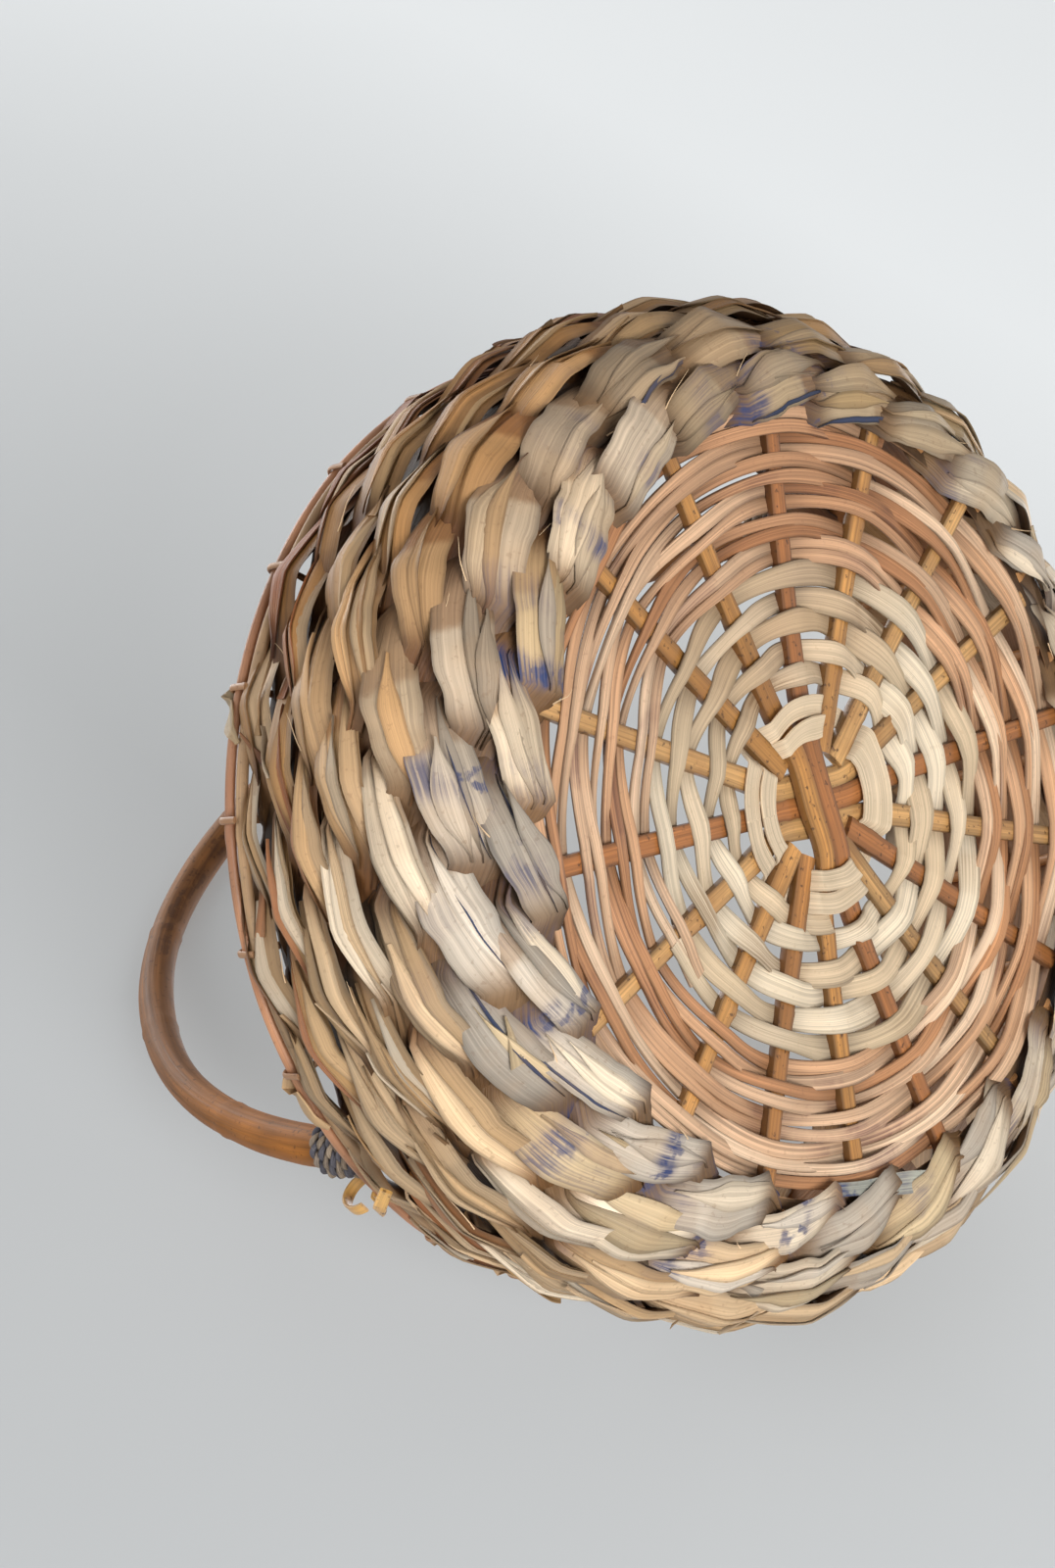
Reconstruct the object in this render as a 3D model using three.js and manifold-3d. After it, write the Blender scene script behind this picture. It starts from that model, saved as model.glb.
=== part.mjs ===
// A round handled basket: a woven cane base, a bulging wall of twined leaf,
// a cane rim and one tall handle bow of bent cane.
// Millimetres, +Z up. The foot stands at z = 0 and the handle ends are on -X and +X.
// Inside the group, height 0 is the middle of the base where it meets the wall.
import * as THREE from "three";
import Module from "manifold-3d";

// Body
const BASE_RADIUS = 98; // edge of the woven base, where the wall begins
const BASE_DOME = 4; // rise of the base's middle, so that the basket stands on its edge
const BELLY_RADIUS = 125.5; // widest place of the wall, on the line of the stakes
const BELLY_HEIGHT = 33; // above the edge of the base
const RIM_RADIUS = 118; // line of the stakes at the top of the wall
const RIM_HEIGHT = 74.5; // top of the twined wall, above the edge of the base
const RIM_SWEEP = THREE.MathUtils.degToRad(37); // turn of the wall's line from the belly to the rim
const FOOT_FLAT = 0.5; // depth of the flats worn under the lowest row

// Base sticks and side stakes
const STAKES = 17; // an odd number, so that a weaver changes sides on each round
const STAKE_DIAMETER = 3.2;
const STAKE_FOOT = 14; // length of a stake that is pushed into the base
const STAKE_LEAN = THREE.MathUtils.degToRad(6); // sideways lean of the stakes from base to rim
const HOOK_THICKNESS = 1.6; // a stake's thinned end where it bends over the rim
const STICK_WIDTH = 5.2;
const STICK_THICKNESS = 3.6;
const HUB_RADIUS = 27; // where the sticks have spread into even spokes
const HUB_CROSSING = 10; // half length of the straight crossing in the hub
const HALF_STICK_START = 22; // radius where the seven short sticks begin
const THROUGH_TURN = 2; // place of the three long sticks' middle, in spaces from the handle
const CROSS_TURN = 5.5; // place of the middle of the two that cross them

// Flat weavers of the base
const WEAVER_WIDTH = 5.6;
const WEAVER_THICKNESS = 0.9;
const WEAVER_GAP = 0.8; // between neighbouring rounds
const WEAVER_SPLIT = 62; // radius where the pale weaver gives way to the reddish one
const WEAVER_FLAT = 0.32; // share of a space that a weaver lies flat on each side of a stick
const BINDING_RADIUS = 17.6;
const BINDING_WIDTH = 5;

// Twined wall
const WALL_ROWS = 7;
const ROW_GAP = 0.6; // between neighbouring rows
const LEAF_THICKNESS = 3;
const TWINE_CLEARANCE = 0.6; // between a stake and the strands that pass it
const SPLICE_STEP = 5; // stakes by which each row's splice moves on from the row below

// Rim and handle
const HOOP_DIAMETER = 4;
const HANDLE_DIAMETER = 10.5;
const HANDLE_RISE = 175; // height of the bow's line above the rim
const LEG_WIDTH = 9; // the handle's end where it passes the rim
const LEG_THICKNESS = 5;
const LEG_TIP_WIDTH = 4.5;
const LEG_ROWS = 3; // rows of the wall that a leg goes down through
const LASHING_DIAMETER = 3.2;
const LASHING_TURNS = 3;
const LASHING_GAP = 0.8; // between neighbouring turns
const TIE_WIDTH = 4.5;
const TIE_THICKNESS = 1.2;
const TIE_LOOP = 4.4; // radius of the eye at the tie's end
const TIE_ANGLE = THREE.MathUtils.degToRad(8.4); // from the handle to the tie

const CLEARANCE = 0.35; // between pieces that lie against each other

// Facets
const STEPS_PER_SPACE = 3;
const FACING_STEPS = 90;
const HANDLE_STEPS = 26;
const HANDLE_SIDES = 10;
const CANE_SIDES = 6;
const STAKE_SIDES = 5;
const HOOK_STEP = THREE.MathUtils.degToRad(45);
const HOOP_STEPS = 40;
const COIL_STEPS = 12;
const BINDING_STEPS = 64;

const wasm = await Module();
wasm.setup();

// Solids

function signedVolume(points, triangles) {
  let sum = 0;
  for (let i = 0; i < triangles.length; i += 3) {
    const [a, b, c] = triangles.slice(i, i + 3).map((index) => points[index]);
    sum += a.dot(new THREE.Vector3().crossVectors(b, c));
  }
  return sum / 6;
}

// A closed skin over rings with equal numbers of points. A loop joins its last ring to its first.
function skin(rings, loop = false) {
  const count = rings[0].length;
  const points = rings.flat();
  const triangles = [];
  const spans = loop ? rings.length : rings.length - 1;
  for (let i = 0; i < spans; i++) {
    const here = i * count;
    const next = ((i + 1) % rings.length) * count;
    for (let j = 0; j < count; j++) {
      const k = (j + 1) % count;
      triangles.push(here + j, next + j, next + k, here + j, next + k, here + k);
    }
  }
  if (!loop) {
    const last = (rings.length - 1) * count;
    for (let j = 1; j < count - 1; j++) {
      triangles.push(0, j, j + 1, last, last + j + 1, last + j);
    }
  }
  if (signedVolume(points, triangles) < 0) triangles.reverse();
  const geometry = new THREE.BufferGeometry().setFromPoints(points);
  geometry.setIndex(triangles);
  return geometry;
}

// Sections of [across, through] pairs along a path, where sides[i] is about the across direction.
function sweep(path, sides, sectionAt) {
  const rings = path.map((point, i) => {
    const before = path[Math.max(i - 1, 0)];
    const after = path[Math.min(i + 1, path.length - 1)];
    const along = after.clone().sub(before).normalize();
    const across = sides[i].clone().addScaledVector(along, -sides[i].dot(along)).normalize();
    const through = new THREE.Vector3().crossVectors(along, across);
    return sectionAt(i).map(([a, t]) =>
      point.clone().addScaledVector(across, a).addScaledVector(through, t),
    );
  });
  return skin(rings);
}

function oval(halfAcross, halfThrough, sides) {
  return Array.from({ length: sides }, (_, i) => {
    const turn = (2 * Math.PI * (i + 0.5)) / sides;
    return [halfAcross * Math.cos(turn), halfThrough * Math.sin(turn)];
  });
}

function slab(halfAcross, halfThrough) {
  const corners = [[1, 1], [-1, 1], [-1, -1], [1, -1]];
  return corners.map(([a, t]) => [a * halfAcross, t * halfThrough]);
}

// The solid of a mesh, with the corners that its faces repeat joined.
function manifoldOf(geometry) {
  const corners = geometry.toNonIndexed().getAttribute("position");
  const found = new Map();
  const vertProperties = [];
  const triVerts = [];
  for (let i = 0; i < corners.count; i++) {
    const corner = [corners.getX(i), corners.getY(i), corners.getZ(i)];
    const key = corner.join();
    if (!found.has(key)) {
      found.set(key, found.size);
      vertProperties.push(...corner);
    }
    triVerts.push(found.get(key));
  }
  return new wasm.Manifold(
    new wasm.Mesh({
      numProp: 3,
      vertProperties: new Float32Array(vertProperties),
      triVerts: new Uint32Array(triVerts),
    }),
  );
}

function geometryOf(solid) {
  const mesh = solid.getMesh();
  const geometry = new THREE.BufferGeometry();
  geometry.setAttribute("position", new THREE.BufferAttribute(mesh.vertProperties, 3));
  geometry.setIndex(new THREE.BufferAttribute(mesh.triVerts, 1));
  return geometry;
}

// Layout

const polar = (radius, angle, z) =>
  new THREE.Vector3(radius * Math.cos(angle), radius * Math.sin(angle), z);
const sideways = (angle) => new THREE.Vector3(-Math.sin(angle), Math.cos(angle), 0);
const baseHeight = (radius) => BASE_DOME * (1 - (radius / BASE_RADIUS) ** 2);

const frontSpaces = Math.floor(STAKES / 2);
const backSpaces = STAKES - frontSpaces;
const handleTurns = [0, frontSpaces];

// Angle of a stake, counted in spaces from the handle end on -X, at a share of the wall's height.
function stakeAngle(turn, lift) {
  const laps = Math.floor(turn / STAKES);
  const place = turn - laps * STAKES;
  const half = place < frontSpaces ? place / frontSpaces : 1 + (place - frontSpaces) / backSpaces;
  return Math.PI * (1 + half + 2 * laps) - STAKE_LEAN * (1 - lift);
}

// The wall's line as radius and height: out from the base to the belly, then in to the rim.
const rimDepth = (BELLY_RADIUS - RIM_RADIUS) / (1 - Math.cos(RIM_SWEEP));
const rimReach = (RIM_HEIGHT - BELLY_HEIGHT) / Math.sin(RIM_SWEEP);
const baseDepth = BELLY_RADIUS - BASE_RADIUS;
const wall = new THREE.CurvePath();
wall.add(new THREE.EllipseCurve(BASE_RADIUS, BELLY_HEIGHT, baseDepth, BELLY_HEIGHT, -Math.PI / 2, 0));
wall.add(
  new THREE.EllipseCurve(BELLY_RADIUS - rimDepth, BELLY_HEIGHT, rimDepth, rimReach, 0, RIM_SWEEP),
);
const wallLength = wall.getLength();

function wallFrame(lift) {
  const small = 1e-3;
  const above = wall.getPoint(Math.min(lift + small, 1));
  const below = wall.getPoint(Math.max(lift - small, 0));
  const up = above.sub(below).normalize();
  return { centre: wall.getPoint(lift), up, out: new THREE.Vector2(up.y, -up.x) };
}

// Two leaf strands wind round the stakes, each twineRadius from the row's middle.
const stakeHalf = STAKE_DIAMETER / 2;
const leafHalf = LEAF_THICKNESS / 2;
const twineRadius = stakeHalf + TWINE_CLEARANCE + leafHalf;

// Half the width of the widest leaf that stays in its row, over all the ways that a strand faces.
const rowHalf = (wallLength / WALL_ROWS - ROW_GAP) / 2;
const leafRooms = Array.from({ length: FACING_STEPS }, (_, i) => {
  const facing = ((Math.PI / 2) * i) / FACING_STEPS;
  const room = rowHalf - twineRadius * Math.sin(facing);
  return Math.sqrt(room ** 2 - (leafHalf * Math.sin(facing)) ** 2) / Math.cos(facing);
});
const leafHalfWidth = Math.min(...leafRooms);
const legTip = (WALL_ROWS - LEG_ROWS) / WALL_ROWS;

// Half thickness of the handle's leg in the wall, which grows from a stake's to the rim's.
function legHalf(lift) {
  const share = THREE.MathUtils.clamp((lift - legTip) / (1 - legTip), 0, 1);
  return THREE.MathUtils.lerp(stakeHalf, LEG_THICKNESS / 2, share);
}

const hoopHalf = HOOP_DIAMETER / 2;
const hoopRadius = RIM_RADIUS + LEG_THICKNESS / 2 + CLEARANCE + hoopHalf;
const topRow = wallFrame(1 - 0.5 / WALL_ROWS).centre.y + rowHalf;
const lowerHoop = Math.max(RIM_HEIGHT, topRow) + CLEARANCE + hoopHalf;
const upperHoop = lowerHoop + HOOP_DIAMETER + CLEARANCE;
const shoulder = upperHoop + hoopHalf + CLEARANCE;

// A stick lies beside its stake's foot, so that both share one opening in the weave.
const footStart = BASE_RADIUS - STAKE_FOOT;
const stickShift = Math.asin((STICK_WIDTH / 2 + stakeHalf + CLEARANCE) / footStart);
const stickAngle = (turn) => stakeAngle(turn, 0) - stickShift;
const stickEnd = BASE_RADIUS - CLEARANCE;
const spokeMiddle = (HUB_RADIUS + stickEnd) / 2;

// Materials

const material = (color, roughness) =>
  new THREE.MeshStandardMaterial({ color, roughness, metalness: 0 });
const stickCane = material(0xb8763a, 0.5);
const paleCane = material(0xdcc49a, 0.6);
const redCane = material(0xb9855a, 0.6);
const stakeCane = material(0xa4683a, 0.6);
const dryLeaf = material(0xc9a878, 0.7);
const redRimCane = material(0xa9744a, 0.55);
const greyRimCane = material(0x9a8f7e, 0.6);
const handleCane = material(0x8a5a30, 0.45);
const cord = material(0x5d5a57, 0.85);

const basket = new THREE.Group();
function add(name, geometry, finish) {
  const mesh = new THREE.Mesh(geometry, finish);
  mesh.name = name;
  basket.add(mesh);
}

// Base sticks

const stickSection = () => oval(STICK_WIDTH / 2, STICK_THICKNESS / 2, CANE_SIDES);
const spoke = (turn, radius) => polar(radius, stickAngle(turn), baseHeight(radius));

// A stick across the whole base. lane is its sideways place in the hub, and level its height there.
function longStick({ from, to, axis, lane, level }) {
  const along = new THREE.Vector3(Math.cos(axis), Math.sin(axis), 0);
  const crossing = [HUB_CROSSING, -HUB_CROSSING].map((reach) =>
    along.clone().multiplyScalar(reach).addScaledVector(sideways(axis), lane).setZ(BASE_DOME + level),
  );
  const path = [
    ...[stickEnd, spokeMiddle, HUB_RADIUS].map((radius) => spoke(from, radius)),
    ...crossing,
    ...[HUB_RADIUS, spokeMiddle, stickEnd].map((radius) => spoke(to, radius)),
  ];
  const sides = path.map((_, i) => {
    const after = path[Math.min(i + 1, path.length - 1)];
    const before = path[Math.max(i - 1, 0)];
    return new THREE.Vector3(before.y - after.y, after.x - before.x, 0).normalize();
  });
  return sweep(path, sides, stickSection);
}

// Two sticks cross under three, and each bundle spreads into spokes outside the hub.
const lanePitch = STICK_WIDTH + CLEARANCE;
const hubLevel = (STICK_THICKNESS + CLEARANCE) / 2;
const crossAxis = stickAngle(CROSS_TURN);
const bundles = [
  {
    name: "base_cross_stick",
    near: CROSS_TURN,
    far: CROSS_TURN + Math.ceil(STAKES / 2),
    lanes: [-0.5, 0.5],
    level: -hubLevel,
  },
  {
    name: "base_through_stick",
    near: THROUGH_TURN,
    far: THROUGH_TURN + Math.floor(STAKES / 2),
    lanes: [-1, 0, 1],
    level: hubLevel,
  },
];
const longTurns = new Set();
for (const { name, near, far, lanes, level } of bundles) {
  lanes.forEach((lane, i) => {
    const [from, to] = [near + lane, far - lane];
    const stick = { from, to, axis: stickAngle(near), lane: lane * lanePitch, level };
    add(`${name}_${i + 1}`, longStick(stick), stickCane);
    longTurns.add(from).add(to);
  });
}

const turns = Array.from({ length: STAKES }, (_, turn) => turn);
turns
  .filter((turn) => !longTurns.has(turn))
  .forEach((turn, i) => {
    const path = [HALF_STICK_START, spokeMiddle, stickEnd].map((radius) => spoke(turn, radius));
    const sides = path.map(() => sideways(stickAngle(turn)));
    add(`base_half_stick_${i + 1}`, sweep(path, sides, stickSection), stickCane);
  });

// Base weavers: flat strips that spiral out over and under the sticks

const weaverPitch = WEAVER_WIDTH + WEAVER_GAP;
const weaverRise = (STICK_THICKNESS + WEAVER_THICKNESS) / 2 + CLEARANCE;

function weaver(innerRadius, firstTurn, lastTurn) {
  const rings = [];
  for (let turn = firstTurn; turn < lastTurn; turn++) {
    const side = turn % 2 ? 1 : -1;
    for (const edge of [-WEAVER_FLAT, WEAVER_FLAT]) {
      const radius = innerRadius + ((turn + edge) / STAKES) * weaverPitch;
      const z = baseHeight(radius) + side * weaverRise;
      const section = slab(WEAVER_WIDTH / 2, WEAVER_THICKNESS / 2);
      rings.push(section.map(([a, t]) => polar(radius + a, stickAngle(turn + edge), z + t)));
    }
  }
  return skin(rings);
}

const weaveStart = HUB_RADIUS + WEAVER_WIDTH / 2;
const weaveEnd = stickEnd - WEAVER_WIDTH / 2;
const crossingsTo = (radius) => Math.floor(((radius - weaveStart) / weaverPitch) * STAKES);
const splitTurn = crossingsTo(WEAVER_SPLIT);
add("inner_base_weaver", weaver(weaveStart, 0, splitTurn), paleCane);
add("outer_base_weaver", weaver(weaveStart, splitTurn, crossingsTo(weaveEnd)), redCane);

// The hub's binding passes under the two crossing sticks and over the three behind them.
function hubBinding() {
  const spread = (HUB_RADIUS - BINDING_RADIUS) / (HUB_RADIUS - HUB_CROSSING);
  const rise = hubLevel * spread + weaverRise + CLEARANCE;
  const pairReach = lanePitch / 2 + STICK_WIDTH / 2 + 3 * CLEARANCE;
  const pairEdge = Math.asin(pairReach / (BINDING_RADIUS - BINDING_WIDTH / 2));
  const climb = (2 * Math.PI) / BINDING_STEPS;
  const rings = Array.from({ length: BINDING_STEPS }, (_, i) => {
    const fromAxis = (2 * Math.PI * i) / BINDING_STEPS;
    const nearest = Math.abs(fromAxis - Math.PI * Math.round(fromAxis / Math.PI));
    const share = THREE.MathUtils.clamp((nearest - pairEdge) / climb, 0, 1);
    const z = baseHeight(BINDING_RADIUS) + rise * (2 * share - 1);
    const section = slab(BINDING_WIDTH / 2, WEAVER_THICKNESS / 2);
    return section.map(([a, t]) => polar(BINDING_RADIUS + a, crossAxis + fromAxis, z + t));
  });
  return skin(rings, true);
}
add("hub_binding", hubBinding(), paleCane);

// Side stakes: in beside the base stick, up the wall, and over the rim hoops

function sideStake(turn) {
  const path = [];
  const lifts = [];
  const thicknesses = [];
  const place = (radius, z, lift, thickness = stakeHalf) => {
    path.push(polar(radius, stakeAngle(turn, lift), z));
    lifts.push(lift);
    thicknesses.push(thickness);
  };
  for (const radius of [footStart, BASE_RADIUS - STAKE_FOOT / 4]) {
    place(radius, baseHeight(radius), 0);
  }
  const underHandle = handleTurns.includes(turn);
  const top = underHandle ? legTip - CLEARANCE / wallLength : 1;
  for (let step = 1; step / (2 * WALL_ROWS) < top; step++) {
    const { centre } = wallFrame(step / (2 * WALL_ROWS));
    place(centre.x, centre.y, step / (2 * WALL_ROWS));
  }
  const end = wallFrame(top).centre;
  place(end.x, end.y, top);
  if (!underHandle) {
    const hookHalf = HOOK_THICKNESS / 2;
    const bend = (hoopHalf + CLEARANCE + hookHalf) / Math.cos(HOOK_STEP / 2);
    place(hoopRadius - bend, lowerHoop, 1, hookHalf);
    for (let around = Math.PI; around > -HOOK_STEP / 2; around -= HOOK_STEP) {
      place(hoopRadius + bend * Math.cos(around), upperHoop + bend * Math.sin(around), 1, hookHalf);
    }
    place(hoopRadius + bend, lowerHoop, 1, hookHalf);
  }
  const sides = lifts.map((lift) => sideways(stakeAngle(turn, lift)));
  return sweep(path, sides, (i) => oval(stakeHalf, thicknesses[i], STAKE_SIDES));
}

turns.forEach((turn) => {
  add(`side_stake_${String(turn + 1).padStart(2, "0")}`, sideStake(turn), stakeCane);
});

// Wall rows: two leaf strands that twist round each other, half a turn from stake to stake

function leafSection() {
  const edges = [[leafHalfWidth, 0], [leafHalfWidth / 2, leafHalf], [-leafHalfWidth / 2, leafHalf]];
  return [...edges, ...edges.map(([w, t]) => [-w, -t])];
}

function leafStrand(row, twist) {
  const lift = (row + 0.5) / WALL_ROWS;
  const { centre, up, out } = wallFrame(lift);
  const start = (row * SPLICE_STEP) % STAKES;
  const spliceGap = (CLEARANCE * STAKES) / (Math.PI * centre.x);
  const steps = STAKES * STEPS_PER_SPACE;
  const rings = [];
  for (let i = 1; i <= steps + 1; i++) {
    const turn = start + i / STEPS_PER_SPACE - (i > steps ? spliceGap : 0);
    const facing = Math.PI * turn + twist;
    const away = out.clone().multiplyScalar(Math.cos(facing)).addScaledVector(up, Math.sin(facing));
    const wide = new THREE.Vector2(-away.y, away.x);
    const atLeg = i % STEPS_PER_SPACE === 0 && handleTurns.includes(Math.round(turn) % STAKES);
    const radius = twineRadius + (atLeg ? legHalf((row + 1) / WALL_ROWS) - stakeHalf : 0);
    rings.push(
      leafSection().map(([w, t]) => {
        const spot = centre.clone().addScaledVector(away, radius + t).addScaledVector(wide, w);
        return polar(spot.x, stakeAngle(turn, lift), spot.y);
      }),
    );
  }
  return skin(rings);
}

const strands = [];
for (let row = 0; row < WALL_ROWS; row++) {
  strands.push({ row, name: `wall_row_${row + 1}_strand_a`, geometry: leafStrand(row, 0) });
  strands.push({ row, name: `wall_row_${row + 1}_strand_b`, geometry: leafStrand(row, Math.PI) });
}

// The lowest row carries the basket, so its underside has flats in one plane.
const lowest = Math.min(
  ...strands.map(({ geometry }) => {
    geometry.computeBoundingBox();
    return geometry.boundingBox.min.z;
  }),
);
const footHeight = lowest + FOOT_FLAT;
const ground = new THREE.BoxGeometry(4 * BELLY_RADIUS, 4 * BELLY_RADIUS, BELLY_HEIGHT);
ground.translate(0, 0, footHeight - BELLY_HEIGHT / 2);
const groundSolid = manifoldOf(ground);
for (const { row, name, geometry } of strands) {
  const worn = row === 0 ? geometryOf(manifoldOf(geometry).subtract(groundSolid)) : geometry;
  add(name, worn, dryLeaf);
}

// Rim: two cane hoops, one on the other, outside the stakes and under their hooks

function hoop(height) {
  const outline = oval(hoopHalf, hoopHalf, CANE_SIDES).map(
    ([across, through]) => new THREE.Vector2(hoopRadius + across, through),
  );
  const geometry = new THREE.LatheGeometry([...outline, outline[0]], HOOP_STEPS);
  geometry.rotateX(Math.PI / 2);
  geometry.translate(0, 0, height);
  return geometry;
}
add("rim_hoop_upper", hoop(upperHoop), redRimCane);
add("rim_hoop_lower", hoop(lowerHoop), greyRimCane);

// Handle: a round bow whose ends are flattened at the rim and taper down into the wall

const bowPoint = (turned) =>
  new THREE.Vector3(-RIM_RADIUS * Math.cos(turned), 0, shoulder + HANDLE_RISE * Math.sin(turned));

function handleLeg(turn) {
  const points = [];
  for (let step = 0; step <= 2 * LEG_ROWS; step++) {
    const share = step / (2 * LEG_ROWS);
    const lift = THREE.MathUtils.lerp(legTip, 1, share);
    const { centre } = wallFrame(lift);
    const halfWidth = THREE.MathUtils.lerp(LEG_TIP_WIDTH, LEG_WIDTH, share) / 2;
    points.push({ at: polar(centre.x, stakeAngle(turn, lift), centre.y), halfWidth, half: legHalf(lift) });
  }
  return points;
}

function handle() {
  const bow = Array.from({ length: HANDLE_STEPS + 1 }, (_, i) => {
    const flat = i === 0 || i === HANDLE_STEPS;
    const halfWidth = (flat ? LEG_WIDTH : HANDLE_DIAMETER) / 2;
    const half = (flat ? LEG_THICKNESS : HANDLE_DIAMETER) / 2;
    return { at: bowPoint((Math.PI * i) / HANDLE_STEPS), halfWidth, half };
  });
  const [left, right] = handleTurns.map(handleLeg);
  const stations = [...left, ...bow, ...right.reverse()];
  const front = new THREE.Vector3(0, 1, 0);
  return sweep(
    stations.map(({ at }) => at),
    stations.map(() => front),
    (i) => oval(stations[i].halfWidth, stations[i].half, HANDLE_SIDES),
  );
}
add("handle", handle(), handleCane);

// Lashings: a cord wound round each leg of the handle, down on the rim

const cordHalf = LASHING_DIAMETER / 2;

// The least gap between stretches of a cord that lie more than half a turn apart along it.
function selfGap(path) {
  let least = Infinity;
  path.forEach((point, i) => {
    path.slice(i + COIL_STEPS / 2).forEach((other) => {
      least = Math.min(least, point.distanceTo(other) - LASHING_DIAMETER);
    });
  });
  return least;
}

function lashing(side) {
  const taperTop = bowPoint(Math.PI / HANDLE_STEPS).z;
  const climb = LASHING_DIAMETER + LASHING_GAP;
  const coilPoint = (turned) => {
    const z = shoulder + cordHalf + (climb * turned) / (2 * Math.PI);
    const share = (z - shoulder) / (taperTop - shoulder);
    const half = THREE.MathUtils.lerp(LEG_THICKNESS, HANDLE_DIAMETER, share) / 2 + cordHalf + CLEARANCE;
    const halfWidth = THREE.MathUtils.lerp(LEG_WIDTH, HANDLE_DIAMETER, share) / 2 + cordHalf + CLEARANCE;
    const middle = RIM_RADIUS * Math.cos(Math.asin((z - shoulder) / HANDLE_RISE));
    const inward = Math.cos(turned);
    return new THREE.Vector3(side * (middle - half * inward), halfWidth * Math.sin(turned), z);
  };
  const count = LASHING_TURNS * COIL_STEPS;
  const coil = Array.from({ length: count + 1 }, (_, i) => coilPoint((2 * Math.PI * i) / COIL_STEPS));
  const lead = new THREE.Vector3(0, LASHING_DIAMETER, 0);
  const path = [coil[0].clone().sub(lead), ...coil, coil[count].clone().add(lead)];
  console.log(`least gap between the turns of a lashing: ${selfGap(path).toFixed(2)} mm`);
  const upright = new THREE.Vector3(0, 0, 1);
  return sweep(path, path.map(() => upright), () => oval(cordHalf, cordHalf, CANE_SIDES));
}
add("handle_lashing_left", lashing(-1), cord);
add("handle_lashing_right", lashing(1), cord);

// Ties: a cane strip beside each leg, hooked over the hoops from inside, with an eye at its end

function rimTie(angle) {
  const bend = hoopHalf + CLEARANCE + TIE_THICKNESS / 2;
  const EYE_STEPS = 12;
  const EYE_SWEEP = THREE.MathUtils.degToRad(310);
  const profile = [new THREE.Vector2(hoopRadius - bend, lowerHoop)];
  for (const turned of [180, 135]) {
    const around = THREE.MathUtils.degToRad(turned);
    profile.push(
      new THREE.Vector2(hoopRadius + bend * Math.cos(around), upperHoop + bend * Math.sin(around)),
    );
  }
  for (let i = 0; i <= EYE_STEPS; i++) {
    const around = (EYE_SWEEP * i) / EYE_STEPS;
    profile.push(
      new THREE.Vector2(
        hoopRadius + TIE_LOOP * Math.sin(around),
        upperHoop + bend + TIE_LOOP * (1 - Math.cos(around)),
      ),
    );
  }
  const path = profile.map(({ x, y }) => polar(x, angle, y));
  const section = slab(TIE_WIDTH / 2, TIE_THICKNESS / 2);
  return sweep(path, path.map(() => sideways(angle)), () => section);
}
const [leftLeg, rightLeg] = handleTurns.map((turn) => stakeAngle(turn, 1));
add("rim_tie_left", rimTie(leftLeg - TIE_ANGLE), stickCane);
add("rim_tie_right", rimTie(rightLeg - TIE_ANGLE), stickCane);

basket.position.z = -footHeight;
export default basket;
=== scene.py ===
import bpy
import math
import random
import numpy as np
from mathutils import Matrix, Vector


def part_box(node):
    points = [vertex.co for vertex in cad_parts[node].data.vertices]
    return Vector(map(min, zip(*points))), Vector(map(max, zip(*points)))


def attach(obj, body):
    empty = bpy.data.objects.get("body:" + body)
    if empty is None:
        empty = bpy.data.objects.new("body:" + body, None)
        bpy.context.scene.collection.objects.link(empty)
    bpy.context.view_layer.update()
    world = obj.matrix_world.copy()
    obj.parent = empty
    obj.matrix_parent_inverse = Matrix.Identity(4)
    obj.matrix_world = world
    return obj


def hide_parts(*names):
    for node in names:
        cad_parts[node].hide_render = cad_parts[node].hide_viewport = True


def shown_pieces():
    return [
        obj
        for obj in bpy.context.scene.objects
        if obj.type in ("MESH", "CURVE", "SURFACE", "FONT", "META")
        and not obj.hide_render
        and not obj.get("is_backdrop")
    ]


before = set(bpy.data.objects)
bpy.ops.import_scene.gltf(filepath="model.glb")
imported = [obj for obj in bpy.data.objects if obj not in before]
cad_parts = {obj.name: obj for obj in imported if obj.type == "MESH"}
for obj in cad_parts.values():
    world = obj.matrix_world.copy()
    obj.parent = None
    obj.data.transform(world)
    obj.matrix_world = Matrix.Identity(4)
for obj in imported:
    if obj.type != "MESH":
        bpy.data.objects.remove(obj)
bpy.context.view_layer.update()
print("frame loaded")

# Shared layout, in metres, on the same lines as the solids
body = {
    "baseRadius": 0.098,
    "baseDome": 0.004,
    "bellyRadius": 0.1255,
    "bellyHeight": 0.033,
    "rimRadius": 0.118,
    "rimHeight": 0.0745,
    "rimSweep": math.radians(37),
    "sticks": 17,
    "frontSticks": 8,
    "stakes": 25,
    "frontStakes": 12,
    "stakeLean": math.radians(6),
    "rows": 7,
    "hoopRadius": 0.12285,
    "legTip": 4 / 7,  # how far up the wall's line the handle's legs end
    "seed": 41,
}
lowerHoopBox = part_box("rim_hoop_lower")
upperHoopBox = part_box("rim_hoop_upper")
lowerHoopZ = (lowerHoopBox[0][2] + lowerHoopBox[1][2]) / 2
upperHoopZ = (upperHoopBox[0][2] + upperHoopBox[1][2]) / 2
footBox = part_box("base_half_stick_1")
baseLevel = footBox[0][2] + 0.0018
shoulderZ = upperHoopZ + 0.00235
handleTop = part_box("handle")[1][2] - 0.00525


# Angle of a place counted in spaces from the handle end on -X, with a handle end after the front spaces
def aroundAngle(turn, count, front):
    turn = np.asarray(turn, dtype=float)
    laps = np.floor(turn / count)
    place = turn - laps * count
    half = np.where(place < front, place / front, 1 + (place - front) / (count - front))
    return np.pi * (1 + half + 2 * laps)


def stakeAngle(turn, lift):
    return aroundAngle(turn, body["stakes"], body["frontStakes"]) - body["stakeLean"] * (1 - lift)


def baseHeight(radius):
    return baseLevel + body["baseDome"] * (1 - (radius / body["baseRadius"]) ** 2)


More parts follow.
